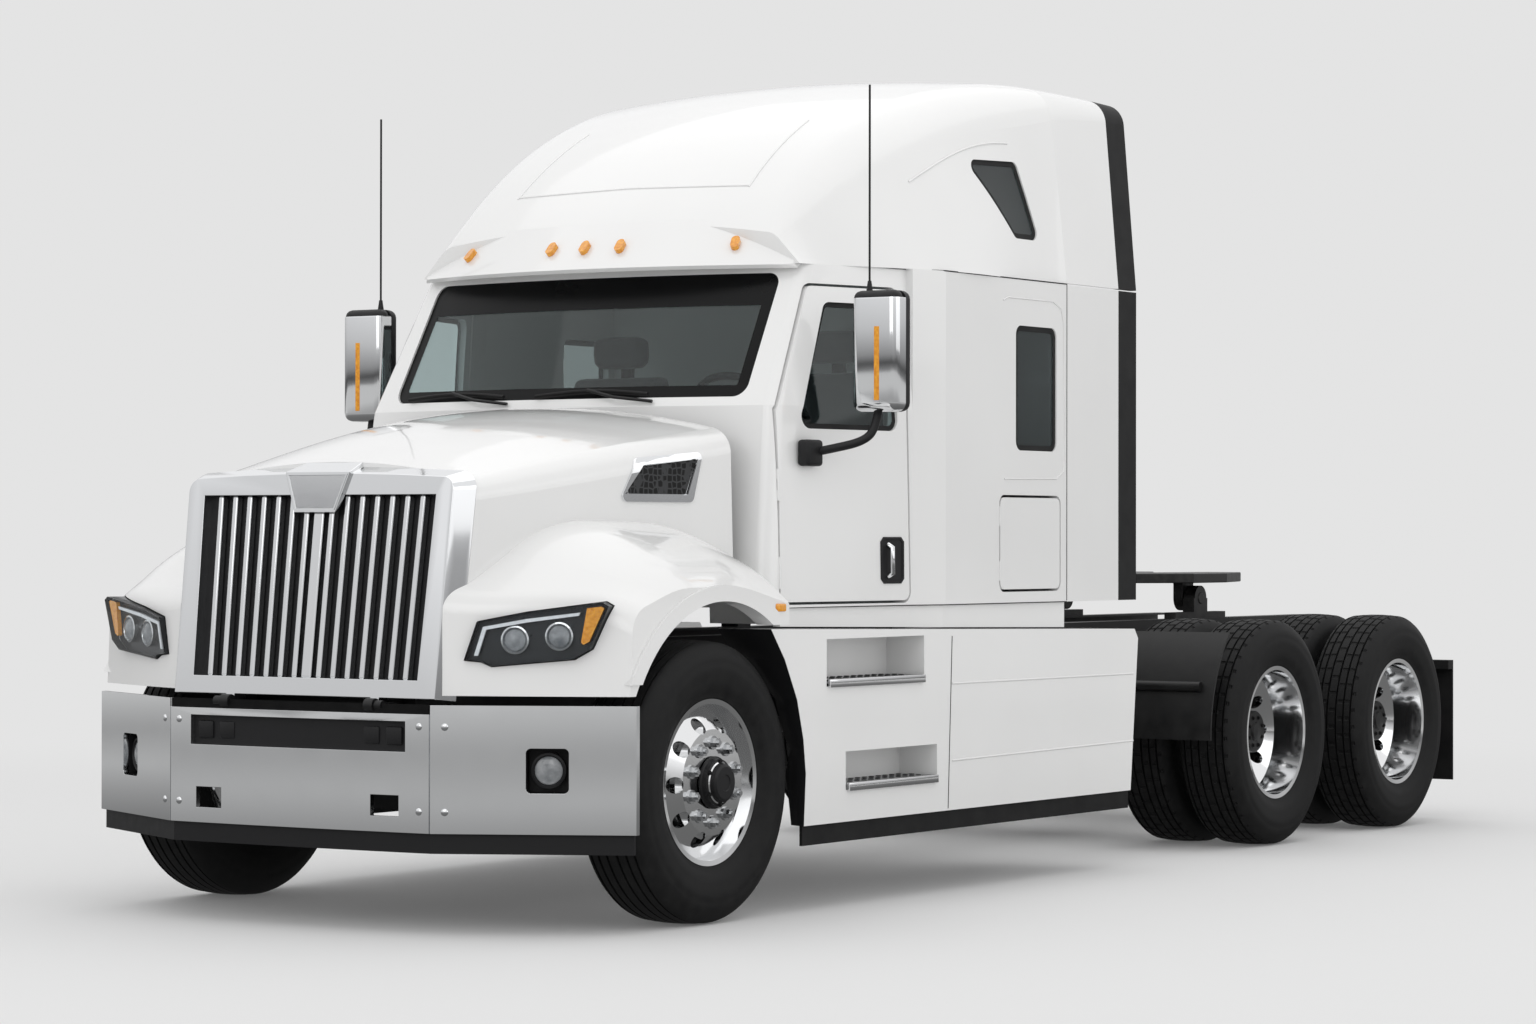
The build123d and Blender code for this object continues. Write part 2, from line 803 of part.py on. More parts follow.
with BuildPart() as hood:
    add(hood_form() - nose_cut.part)
    for fender in both_sides(fender_form()):
        add(fender)
    for fender in both_sides(fender_form(hood_wall)):
        add(fender, mode=Mode.SUBTRACT)
    add(hood_form(hood_wall), mode=Mode.SUBTRACT)
    for arch in both_sides(x_cylinder(arch_radius, wheel_bay_x, 1300, *arch_axis)):
        add(arch, mode=Mode.SUBTRACT)
    for loose_edge in both_sides(block(fender_root_x - 1, fender_root_x + hood_wall + 1, *loose_edge_ys,
                                       fascia_bottom_z - 1, hood_bottom_z - cut_margin + 1)):
        add(loose_edge, mode=Mode.SUBTRACT)
    for lip in both_sides(arch_lip()):
        add(lip)
    for arch in both_sides(block(wheel_bay_x, 1300, arch_centre_y, 600, 700, fender_tail_z)):
        add(arch, mode=Mode.SUBTRACT)
    for lamp in both_sides(lamp_block(lamp_gap, 60, lamp_depth + 160)):
        add(lamp, mode=Mode.SUBTRACT)
    for vent in both_sides(vent_hole):
        add(vent, mode=Mode.SUBTRACT)
    add(surround_form, mode=Mode.SUBTRACT)
    drop_scraps(hood)
keep("hood", hood)

# ---------------------------------------------------------------- grille surround, bars and screen
def opening_outline(plane, shrink=0):
    """The grille opening's outline on a plane parallel to the grille's."""
    low = opening_bottom_half - shrink
    high = opening_top_half - shrink
    with BuildSketch(plane) as outline:
        with BuildLine():
            Polyline(
                [
                    (-low, opening_bottom + shrink),
                    (low, opening_bottom + shrink),
                    (high, opening_bottom + opening_height - shrink),
                    (-high, opening_bottom + opening_height - shrink),
                ],
                close=True,
            )
        make_face()
    return outline.sketch


with BuildPart() as grille_surround:
    add(surround_form)
    extrude(opening_outline(grille_plane.offset(5)), amount=-surround_depth - 10, mode=Mode.SUBTRACT)
    add(blank_plate())
    for side in (1, -1):
        low = side * hinge_x - hinge_width / 2
        high = side * hinge_x + hinge_width / 2
        add(x_cylinder(hinge_pin_radius + hinge_eye_wall, low, high, hinge_y, hinge_z))
        with BuildSketch(grille_plane):
            with Locations((side * hinge_x, 1 - hinge_lug_height / 2)):
                Rectangle(hinge_width, hinge_lug_height)
        extrude(amount=-hinge_lug_depth)
        add(x_cylinder(hinge_pin_radius + bearing_gap, low - 1, high + 1, hinge_y, hinge_z), mode=Mode.SUBTRACT)
keep("grille_surround", grille_surround)

bar_pitch = (opening_bottom_half - grille_centre_bar / 2) / (grille_bar_count + 0.5)
bar_lean = opening_top_half / opening_bottom_half


def grille_bar(centre, width):
    """One upright bar as x, v points on the grille plane; outer bars lean outwards with the opening."""
    top = opening_bottom + opening_height
    left = centre - width / 2
    right = centre + width / 2
    shift = centre * (bar_lean - 1)
    return ((left, opening_bottom), (right, opening_bottom), (right + shift, top), (left + shift, top))


with BuildPart() as grille:
    bars = [grille_bar(0, grille_centre_bar)]
    for index in range(grille_bar_count):
        offset_x = grille_centre_bar / 2 + bar_pitch * (index + 0.5)
        bars.append(grille_bar(offset_x, grille_bar_width))
        bars.append(grille_bar(-offset_x, grille_bar_width))
    for bar in bars:
        with BuildSketch(grille_plane.offset(-grille_bar_recess)):
            with BuildLine():
                Polyline(bar, close=True)
            make_face()
        extrude(amount=-grille_bar_depth)
keep("grille", grille)

with BuildPart() as grille_screen:
    extrude(opening_outline(grille_plane.offset(-grille_bar_recess - grille_bar_depth)), amount=-grille_screen_wall)
keep("grille_screen", grille_screen)

# ---------------------------------------------------------------- headlights, side vents and hinge leaves
with BuildPart() as headlights:
    seated = lamp_block(lamp_gap, -lamp_seam_depth, lamp_depth - lamp_seam_depth)
    for lamp in both_sides(lamp_block(0, lamp_proud, lamp_depth) + seated):
        add(lamp)
keep("headlights", headlights)

vent_shell = hood_form(-vent_proud) - hood_form(vent_wall)
with BuildPart() as hood_vents:
    inner_points = [(y + (vent_frame if y < 100 else -vent_frame), z + (vent_frame if z < 1600 else -vent_frame))
                    for y, z in vent_outline]
    frame_prism = vent_hole - side_prism(inner_points, 12, 590, 1110)
    screen_prism = side_prism(inner_points, 12, 600, 1100)
    left_vent = (vent_shell & frame_prism) + ((hood_form(2) - hood_form(vent_wall)) & screen_prism)
    for vent in both_sides(left_vent):
        add(vent)
keep("hood_vents", hood_vents)

# ---------------------------------------------------------------- ladder frame with cab mounts and front horns
hinge_arm_x = hinge_x + hinge_width / 2 + 3
with BuildPart() as frame:
    rail_low_z = frame_top_z - rail_height
    for side in (1, -1):
        outer = side * rail_x
        inner = side * (rail_x - rail_flange)
        low, high = sorted((outer, inner))
        add(block(low, high, frame_front_y, frame_rear_y, rail_low_z, frame_top_z))
        pocket_low, pocket_high = sorted((side * (rail_x - rail_wall), side * (rail_x - rail_flange - 1)))
        add(
            block(pocket_low, pocket_high, frame_front_y + rail_closed_end, frame_rear_y + 1, rail_low_z + rail_wall,
                  frame_top_z - rail_wall),
            mode=Mode.SUBTRACT,
        )
        add(block(low, high, frame_front_y, frame_front_y + horn_depth, horn_bottom_z, rail_low_z))
        for y in cab_mount_ys:
            add(block(low, high, y - cab_mount_length / 2, y + cab_mount_length / 2, frame_top_z, body_bottom_z))
    for y in crossmember_ys:
        add(
            block(-rail_x + rail_wall / 2, rail_x - rail_wall / 2, y - crossmember_length / 2,
                  y + crossmember_length / 2, rail_low_z + crossmember_low, frame_top_z - crossmember_high)
        )
    for side in (1, -1):
        inner = side * (hinge_x - hinge_width / 2)
        outer = side * (hinge_arm_x + hinge_arm_wall)
        low, high = sorted((inner, outer))
        add(x_cylinder(hinge_pin_radius, low, high, hinge_y, hinge_z))
        low, high = sorted((side * hinge_arm_x, outer))
        add(x_cylinder(hinge_pin_radius + 3, low, high, hinge_y, hinge_z))
        add(block(low, high, hinge_y, frame_front_y, hinge_z - hinge_pin_radius - 3, hinge_z + 8))
keep("frame", frame)

# ---------------------------------------------------------------- bumper, valance and fog lamps
end_turn = degrees(atan2(bumper_end_y - bumper_seam_y, bumper_end_x - bumper_seam_x))
fog_y = bumper_seam_y + (fog_x - bumper_seam_x) * sin(radians(end_turn)) / cos(radians(end_turn))
fog_plane = Plane(
    origin=(fog_x, at(fog_y), fog_z),
    x_dir=(cos(radians(end_turn)), sin(radians(end_turn)), 0),
    z_dir=(sin(radians(end_turn)), -cos(radians(end_turn)), 0),
)


def bumper_band(inset, wall, low, high):
    """A wall that follows the bumper's plan outline, inset from its face."""
    with BuildPart(mode=Mode.PRIVATE) as band:
        with BuildSketch(Plane.XY.offset(low)) as plan:
            with BuildLine():
                Polyline(
                    [
                        (bumper_seam_x, at(bumper_seam_y)),
                        (bumper_end_x, at(bumper_end_y)),
                        (bumper_end_x, at(bumper_end_y + 400)),
                        (-bumper_end_x, at(bumper_end_y + 400)),
                        (-bumper_end_x, at(bumper_end_y)),
                        (-bumper_seam_x, at(bumper_seam_y)),
                    ]
                )
                ThreePointArc(
                    (-bumper_seam_x, at(bumper_seam_y)), (0, at(bumper_front_y)), (bumper_seam_x, at(bumper_seam_y))
                )
            make_face()
            if inset:
                offset(amount=-inset, kind=Kind.INTERSECTION, mode=Mode.REPLACE)
        outer = extrude(amount=high - low)
        with BuildSketch(Plane.XY.offset(low)) as hollow:
            add(plan.sketch)
            offset(amount=-wall, kind=Kind.INTERSECTION, mode=Mode.REPLACE)
        extrude(amount=high - low, mode=Mode.SUBTRACT)
        add(block(-1400, 1400, bumper_end_y + 20, 500, low - 1, high + 1), mode=Mode.SUBTRACT)
    return band.part


def slot(x, width, low, high):
    """A cutter along Y through the bumper's centre."""
    return block(x - width / 2, x + width / 2, -1100, -800, low, high)


with BuildPart() as bumper:
    add(bumper_band(0, bumper_wall, bumper_bottom_z, bumper_top_z))
    add(block(-bumper_seam_x, bumper_seam_x, -1000, -700, bumper_centre_top_z, bumper_top_z + 1), mode=Mode.SUBTRACT)
    add(slot(0, 2 * slot_half_width, slot_bottom_z, slot_top_z), mode=Mode.SUBTRACT)
    for side in (1, -1):
        add(slot(side * tow_slot_x, tow_slot_width, tow_slot_z - tow_slot_height / 2, tow_slot_z + tow_slot_height / 2),
            mode=Mode.SUBTRACT)
        seam = block(-seam_width / 2, seam_width / 2, -1000, bumper_seam_y + seam_depth, 300, 900)
        add(Pos(side * bumper_seam_x, 0, 0) * seam, mode=Mode.SUBTRACT)
        low, high = sorted((side * (rail_x - rail_flange), side * rail_x))
        bracket = block(low, high, bumper_seam_y + bumper_wall / 2, frame_front_y, bumper_bracket_bottom_z,
                        bumper_bracket_top_z)
        add(bracket)
    with BuildSketch(fog_plane.offset(50)) as fog_cut:
        Rectangle(fog_width, fog_height)
        fillet(fog_cut.vertices(), 18)
    fog_hole = extrude(amount=-150, mode=Mode.PRIVATE)
    for hole in both_sides(fog_hole):
        add(hole, mode=Mode.SUBTRACT)
keep("bumper", bumper)

with BuildPart() as bumper_trim:
    add(bumper_band(valance_inset, bumper_wall, valance_bottom_z, bumper_bottom_z))
    add(
        bumper_band(bumper_wall, slot_screen_wall, slot_bottom_z - 10, slot_top_z + 10)
        & block(-slot_half_width - 30, slot_half_width + 30, -1000, -700, 0, 1000)
    )
    with BuildSketch(fog_plane.offset(-bumper_wall)) as fog_back:
        Rectangle(fog_width + 2 * fog_wall, fog_height + 2 * fog_wall)
    fog_box = extrude(amount=-fog_depth, mode=Mode.PRIVATE)
    with BuildSketch(fog_plane.offset(-bumper_wall + 1)) as fog_inner:
        Rectangle(fog_width, fog_height)
    fog_hollow = extrude(amount=-fog_depth + fog_wall, mode=Mode.PRIVATE)
    for box in both_sides(fog_box - fog_hollow):
        add(box)
keep("bumper_trim", bumper_trim)

# ---------------------------------------------------------------- skirts, steps and their carriers
with BuildPart(mode=Mode.PRIVATE) as sweep_space:
    with BuildSketch(Plane.XZ) as sweep_half:
        with BuildLine():
            Polyline(steer_sweep, close=True)
        make_face()
    revolve(axis=Axis.Z)
steer_space = Pos(kingpin_x, front_axle_y, 0) * sweep_space.part
skirt_outline = skirt_front + skirt_rear
skirt_inner_x = skirt_x - skirt_depth


def step_space(row, grow, x_high):
    """The left step pocket, or the lining round it."""
    front, rear, tread, height = row
    top = tread + height
    return block(skirt_x - step_depth - grow, x_high, front - grow, rear + grow, tread - tread_wall - grow, top + grow)


def skirt_cavity():
    """The space inside the left skirt, open below and towards the frame."""
    front = [(y + skirt_wall, z - (skirt_wall if index == len(skirt_front) - 1 else 0))
             for index, (y, z) in enumerate(skirt_front)]
    front[0] = (front[0][0], skirt_bottom_z - 5)
    top, shoulder, foot = skirt_rear
    rear = [
        (top[0] - skirt_wall, top[1] - skirt_wall),
        (shoulder[0] - skirt_wall, shoulder[1] - skirt_wall / 2),
        (foot[0] - skirt_wall, skirt_bottom_z - 5),
    ]
    return side_prism(front + rear, 0, skirt_inner_x - 5, skirt_x - skirt_wall)


with BuildPart() as left_skirt:
    add(side_prism(skirt_outline, 0, skirt_inner_x, skirt_x))
    add(skirt_cavity(), mode=Mode.SUBTRACT)
    for row in step_rows:
        add(step_space(row, skirt_wall, skirt_x) & side_prism(skirt_outline, 0, skirt_inner_x, skirt_x))
    for row in step_rows:
        add(step_space(row, 0, skirt_x + 50), mode=Mode.SUBTRACT)
    add(steer_space, mode=Mode.SUBTRACT)
with BuildPart() as skirts:
    for skirt in both_sides(left_skirt.part):
        add(skirt)
keep("skirts", skirts)

with BuildPart() as steps:
    for front, rear, tread, height in step_rows:
        step = block(skirt_x - step_depth + tread_gap, skirt_x + 4, front + tread_gap, rear - tread_gap,
                     tread - tread_wall, tread)
        for tread_block in both_sides(step):
            add(tread_block)
keep("steps", steps)

with BuildPart() as rubber_edges:
    strip = block(skirt_x - skirt_wall, skirt_x - skirt_wall + strip_wall, skirt_front[0][0] + 6, skirt_rear[-1][0],
                  strip_bottom_z, skirt_bottom_z)
    for piece in both_sides(strip):
        add(piece)
    for panel in extender_panel(extender_rear_y, edge_strip_rear_y, sleeper_half_width - extender_reach + 60):
        for piece in both_sides(panel):
            add(piece)
keep("rubber_edges", rubber_edges)

with BuildPart() as fuel_tanks:
    tank = Pos(tank_x, at((tank_front_y + tank_rear_y) / 2), tank_z) * Rot(90, 0, 0) * Cylinder(
        tank_radius, tank_rear_y - tank_front_y, mode=Mode.PRIVATE
    )
    for piece in both_sides(tank):
        add(piece)
keep("fuel_tanks", fuel_tanks)

with BuildPart() as outriggers:
    cradle = Pos(tank_x, at((tank_front_y + tank_rear_y) / 2), tank_z) * Rot(90, 0, 0) * Cylinder(
        tank_radius + fit_gap, tank_rear_y - tank_front_y + 20, mode=Mode.PRIVATE
    )
    for y in beam_ys:
        for beam in both_sides(block(rail_x, skirt_x - skirt_wall, y - bracket_wall / 2, y + bracket_wall / 2,
                                     beam_bottom_z, beam_top_z)):
            add(beam)
    for y in saddle_ys:
        low = y - bracket_wall / 2
        high = y + bracket_wall / 2
        saddle = block(rail_x, skirt_x - skirt_wall, low, high, saddle_bottom_z, tank_z)
        post = block(rail_x, tank_x - tank_radius, low, high, tank_z, frame_top_z - 10)
        for piece in both_sides(saddle + post - cradle):
            add(piece)
keep("outriggers", outriggers)

# ---------------------------------------------------------------- doors, luggage hatches and mirrors
window_prism = side_prism(window_points(), window_corner_radius, 700, 1250)
cab_skin = cab_solid() - cab_solid(cab_wall)
left_door = cab_skin & (door_prism() - window_prism)
glass_levels = (cab_level(cab_foot, cab_belt, window_bottom_z - 5), cab_level(cab_belt, cab_top, window_top_z + 5))
left_glass = (cab_form(*glass_levels, glass_inset) - cab_form(*glass_levels, glass_inset + glass_wall)) & window_prism

mirror_low = (1133, 985, 1858)
mirror_high = (1335, 1115, 2317)
mirror_radius = 38
arm_radius = 17
arm_base = (880, 935, 1655, 1760)
arm_points = ((1056, 908, 1708), (1060, 920, 1712), (1205, 1010, 1765), (1222, 1050, 1862))
antenna_x = 1160
antenna_radius = 5
antenna_top_z = 3110


def hinge_knuckles(foot, head, rows, moving):
    """The left side's hinge knuckles on the line from foot to head: the middle third of each row moves."""
    start = Vector(foot[0], at(foot[1]), foot[2])
    line = (Vector(head[0], at(head[1]), head[2]) - start).normalized()
    outward = (Vector(1, 0, 0) - line * line.X).normalized()
    side = 1 if moving else -1
    with BuildPart(mode=Mode.PRIVATE) as knuckles:
        for low, high in rows:
            third = (high - low) / 3
            spans = ((low + third + bearing_gap, high - third - bearing_gap),) if moving else (
                (low, low + third), (high - third, high))
            for bottom, top in spans:
                place = Plane(origin=start + line * ((bottom - foot[2]) / line.Z), x_dir=outward, z_dir=line)
                with BuildSketch(place):
                    Circle(hinge_knuckle_radius)
                    with Locations((-hinge_leaf_wall / 2 - 1, side * hinge_leaf_reach / 2)):
                        Rectangle(hinge_leaf_wall, hinge_leaf_reach)
                    if moving:
                        Circle(hinge_core_radius + bearing_gap, mode=Mode.SUBTRACT)
                extrude(amount=(top - bottom) / line.Z)
            if not moving:
                place = Plane(origin=start + line * ((low - foot[2]) / line.Z), x_dir=outward, z_dir=line)
                with BuildSketch(place):
                    Circle(hinge_core_radius)
                extrude(amount=(high - low) / line.Z)
    return knuckles.part


hatch_hinge_foot = (sleeper_half_width, hatch_front_y - door_gap / 2, hatch_bottom_z)
hatch_hinge_head = (sleeper_half_width, hatch_front_y - door_gap / 2, hatch_top_z)
door_hinge_line = (door_hinge_foot, door_hinge_head, door_hinge_rows)
hatch_hinge_line = (hatch_hinge_foot, hatch_hinge_head, hatch_hinge_rows)
left_door = left_door + hinge_knuckles(*door_hinge_line, True)
with BuildPart() as side_hinges:
    for knuckles in both_sides(hinge_knuckles(*door_hinge_line, False) + hinge_knuckles(*hatch_hinge_line, False)):
        add(knuckles)
    add(cab_shell.part, mode=Mode.SUBTRACT)
    add(sleeper_shell.part, mode=Mode.SUBTRACT)
    drop_scraps(side_hinges)
keep("side_hinges", side_hinges)

hatch_prism = side_prism(hatch_points, 30, 1000, 1250)
left_hatch = (
    block(sleeper_half_width - cab_wall, sleeper_half_width, hatch_front_y, hatch_rear_y, hatch_bottom_z, hatch_top_z)
    & hatch_prism
) + hinge_knuckles(*hatch_hinge_line, True)

with BuildPart() as left_mirror:
    add(block(mirror_low[0], mirror_high[0], mirror_low[1], mirror_high[1], mirror_low[2], mirror_high[2]))
    fillet(left_mirror.edges(), mirror_radius)
    with BuildLine() as arm_path:
        FilletPolyline([(x, at(y), z) for x, y, z in arm_points], radius=30)
    with BuildSketch(Plane(origin=arm_path.line @ 0, z_dir=arm_path.line % 0)):
        Circle(arm_radius)
    sweep()
    add(block(900, 1050, *arm_base) & (cab_solid(-34) - cab_solid()))
    antenna_y = at((mirror_low[1] + mirror_high[1]) / 2)
    with BuildSketch(Plane.XY.offset(mirror_high[2] - 4)):
        with Locations((antenna_x + 20, antenna_y)):
            Circle(14)
    extrude(amount=40)
    with BuildSketch(Plane.XY.offset(mirror_high[2] - 4)):
        with Locations((antenna_x + 20, antenna_y)):
            Circle(antenna_radius)
    extrude(amount=antenna_top_z - mirror_high[2])

for side, name in ((0, "left"), (1, "right")):
    for label, shape in (("door", left_door), ("door_glass", left_glass), ("mirror", left_mirror.part),
                         ("hatch", left_hatch)):
        with BuildPart() as piece:
            add(both_sides(shape)[side])
        keep(f"{label}_{name}", piece)

# ---------------------------------------------------------------- front axle, knuckles and steered wheels
beam_low = axle_height - axle_beam_drop - axle_beam_height / 2
beam_high = beam_low + axle_beam_height
beam_end_x = kingpin_x - kingpin_boss_radius + 10
with BuildPart() as front_axle:
    with BuildSketch(Plane.XZ.offset(-front_axle_y + axle_beam_depth / 2)) as beam:
        with BuildLine():
            Polyline(
                [
                    (0, beam_low), (560, beam_low), (700, axle_height - 45), (beam_end_x, axle_height - 45),
                    (beam_end_x, axle_height + 45), (670, axle_height + 45), (530, beam_high), (0, beam_high),
                ],
                close=True,
            )
        make_face()
        mirror(about=Plane.YZ)
    extrude(amount=-axle_beam_depth)
    with Locations(*[(side * kingpin_x, front_axle_y, axle_height) for side in (1, -1)]):
        Cylinder(kingpin_boss_radius, kingpin_boss_height)
        Cylinder(kingpin_radius, kingpin_boss_height + 110)
keep("front_axle", front_axle)

with BuildPart() as left_knuckle:
    ear = kingpin_boss_height / 2 + 2
    with Locations(*[(kingpin_x, front_axle_y, axle_height + side * (ear + 22)) for side in (1, -1)]):
        Cylinder(kingpin_boss_radius + 6, 44)
    knuckle_wall_x = kingpin_x + kingpin_boss_radius + 6
    add(block(knuckle_wall_x, knuckle_wall_x + 34, -52, 52, axle_height - ear - 44, axle_height + ear + 44))
    for side in (1, -1):
        low, high = sorted((side * ear, side * (ear + 44)))
        add(block(kingpin_x, knuckle_wall_x + 5, -45, 45, axle_height + low, axle_height + high))
    add(x_cylinder(spindle_radius, knuckle_wall_x + 10, front_wheel_x + disc_outset - 6, 0, axle_height))
    with Locations((kingpin_x, front_axle_y, axle_height)):
        Cylinder(kingpin_radius + bearing_gap, 400, mode=Mode.SUBTRACT)
for side, name in ((0, "left"), (1, "right")):
    with BuildPart() as piece:
        add(both_sides(left_knuckle.part)[side])
    keep(f"knuckle_{name}", piece)


def tyre(centre_x, y):
    """A tyre as a revolved ring whose bore sits on the rim."""
    half = tyre_width / 2
    tread = tread_width / 2
    bead = rim_width / 2 - 14
    bore = rim_seat_radius + rim_barrel_wall / 2 + fit_gap
    crown = tyre_radius
    right = ((bead, bore), (bead + 22, bore + 32), (half, 400), (half - 6, 452), (tread, crown - shoulder_drop),
             (tread - 22, crown))
    profile = [(x, r) for x, r in right] + [(-x, r) for x, r in reversed(right)]
    with BuildPart(mode=Mode.PRIVATE) as ring:
        with BuildSketch(Plane.XZ.offset(-at(y))):
            with BuildLine():
                Polyline([(centre_x + x, axle_height + r) for x, r in profile], close=True)
            make_face()
        revolve(axis=Axis((0, at(y), axle_height), (1, 0, 0)))
    return ring.part


def wheel_disc(centre_x, y, outward):
    """A rim whose disc stands disc_outset from its middle, on the side that outward names, with its hub."""
    half = rim_width / 2
    seat = rim_seat_radius + rim_barrel_wall / 2
    inner = seat - rim_barrel_wall
    face = disc_outset
    barrel = (
        (-half, rim_flange_radius), (-half + 8, rim_flange_radius), (-half + 13, seat), (half - 13, seat),
        (half - 8, rim_flange_radius), (half, rim_flange_radius), (half - 3, inner), (face - 60, inner - 8),
        (face, 190), (face, disc_bore_radius), (face - disc_wall, disc_bore_radius),
        (face - disc_wall, 180), (face - 92, inner - 10), (-half + 3, inner),
    )
    with BuildPart(mode=Mode.PRIVATE) as rim:
        with BuildSketch(Plane.XZ.offset(-at(y))):
            with BuildLine():
                Polyline([(centre_x + outward * x, axle_height + r) for x, r in barrel], close=True)
            make_face()
        revolve(axis=Axis((0, at(y), axle_height), (1, 0, 0)))
        for index in range(hand_hole_count):
            turn = radians(360 / hand_hole_count * index)
            hole_y = y + hand_hole_ring * cos(turn)
            hole_z = axle_height + hand_hole_ring * sin(turn)
            add(x_cylinder(hand_hole_radius, centre_x - 200, centre_x + 200, hole_y, hole_z), mode=Mode.SUBTRACT)
    return rim.part


def revolved_x(profile, y):
    """A solid revolved about a wheel's axis from x, radius points."""
    with BuildPart(mode=Mode.PRIVATE) as solid:
        with BuildSketch(Plane.XZ.offset(-at(y))):
            with BuildLine():
                Polyline([(x, axle_height + r) for x, r in profile], close=True)
            make_face()
        revolve(axis=Axis((0, at(y), axle_height), (1, 0, 0)))
    return solid.part


hub_bore = spindle_radius + bearing_gap
front_disc_face = front_wheel_x + disc_outset
front_drum_x = front_disc_face - disc_wall - drum_width
front_hub = (
    (front_drum_x + 20, hub_bore), (front_disc_face + 6, hub_bore), (front_disc_face + 6, 0),
    (front_disc_face + 50, 0), (front_disc_face + 50, 58), (front_disc_face + 30, hub_radius),
    (front_disc_face - disc_wall - fit_gap, hub_radius), (front_disc_face - disc_wall - fit_gap, drum_radius),
    (front_drum_x, drum_radius), (front_drum_x, drum_radius - drum_wall),
    (front_disc_face - disc_wall - 30, drum_radius - drum_wall), (front_disc_face - disc_wall - 30, hub_radius),
    (front_drum_x + 20, hub_radius),
)
left_front = {
    "front_tyre": tyre(front_wheel_x, 0),
    "front_rim": wheel_disc(front_wheel_x, 0, 1) + revolved_x(front_hub, 0),
}
for side, name in ((0, "left"), (1, "right")):
    for label, shape in left_front.items():
        with BuildPart() as piece:
            add(both_sides(shape)[side])
        keep(f"{label}_{name}", piece)

# ---------------------------------------------------------------- drive axles and dual wheels
inner_dual_x = outer_dual_x - dual_spacing
mount_x = (outer_dual_x + inner_dual_x) / 2
disc_step = dual_spacing / 2 - disc_outset
drive_hub_end = mount_x + 120
with BuildPart() as drive_axles:
    for y in drive_axle_ys:
        add(x_cylinder(axle_tube_radius, -inner_dual_x + 180, inner_dual_x - 180, y, axle_height))
        add(x_cylinder(spindle_radius, -drive_hub_end + 20, drive_hub_end - 20, y, axle_height))
        add(revolved_x(((-170, 0), (-170, 120), (-90, differential_radius), (90, differential_radius),
                        (170, 120), (170, 0)), y))
keep("drive_axles", drive_axles)

dual_hub = (
    (inner_dual_x - 60, hub_bore), (drive_hub_end - 14, hub_bore), (drive_hub_end - 14, 0),
    (drive_hub_end, 0), (drive_hub_end, 70), (mount_x + disc_step + disc_wall, disc_bore_radius - fit_gap),
    (mount_x - disc_step - disc_wall, disc_bore_radius - fit_gap), (mount_x - disc_step - disc_wall - 20, drum_radius),
    (mount_x - disc_step - disc_wall - drum_width, drum_radius),
    (mount_x - disc_step - disc_wall - drum_width, drum_radius - drum_wall),
    (mount_x - disc_step - disc_wall - 40, drum_radius - drum_wall), (mount_x - disc_step - disc_wall - 40, hub_radius),
    (inner_dual_x - 60, hub_radius),
)
for axle, y in zip(("front", "rear"), drive_axle_ys):
    tyres = tyre(inner_dual_x, y) + tyre(outer_dual_x, y)
    rims = (
        wheel_disc(inner_dual_x, y, 1) + wheel_disc(outer_dual_x, y, -1) + revolved_x(dual_hub, y)
    )
    for side, name in ((0, "left"), (1, "right")):
        for label, shape in (("tyres", tyres), ("rims", rims)):
            with BuildPart() as piece:
                add(both_sides(shape)[side])
            keep(f"{axle}_drive_{label}_{name}", piece)

# ---------------------------------------------------------------- suspension and driveline
spring_x = rail_x - rail_flange / 2
spring_width = 76
spring_thick = 60
spring_reach = 560
spring_eye_z = frame_top_z - rail_height
arm_depth = 90
airbag_radius = 95
airbag_y = 330
with BuildPart() as suspension:
    for side in (1, -1):
        x_low = side * spring_x - spring_width / 2
        x_high = side * spring_x + spring_width / 2
        with BuildSketch(Plane.YZ.offset(x_low)) as leaf:
            with BuildLine():
                ThreePointArc((at(-spring_reach), spring_eye_z - 30), (at(0), beam_high + 20 + spring_thick),
                              (at(spring_reach), spring_eye_z - 30))
                ThreePointArc((at(-spring_reach), spring_eye_z - 30 - 24), (at(0), beam_high + 20),
                              (at(spring_reach), spring_eye_z - 30 - 24))
                Line((at(-spring_reach), spring_eye_z - 30), (at(-spring_reach), spring_eye_z - 54))
                Line((at(spring_reach), spring_eye_z - 30), (at(spring_reach), spring_eye_z - 54))
            make_face()
        extrude(amount=spring_width)
        add(block(x_low, x_high, -60, 60, beam_high, beam_high + 40))
        for end in (1, -1):
            low, high = sorted((end * (spring_reach - 40), end * (spring_reach + 20)))
            add(block(x_low, x_high, low, high, spring_eye_z - 70, spring_eye_z))
        for y in drive_axle_ys:
            add(block(x_low, x_high, y - 400, y - 320, axle_height - 40, spring_eye_z))
            low_z = axle_height + axle_tube_radius - 6
            add(block(x_low, x_high, y - 400, y + airbag_y + 90, low_z, low_z + arm_depth / 2))
            add(
                Pos(side * spring_x, at(y + airbag_y), (low_z + arm_depth / 2 + spring_eye_z) / 2)
                * Cylinder(airbag_radius, spring_eye_z - low_z - arm_depth / 2, mode=Mode.PRIVATE)
            )
    for y in drive_axle_ys:
        add(x_cylinder(axle_tube_radius, -rail_x, rail_x, y, axle_height), mode=Mode.SUBTRACT)
keep("suspension", suspension)

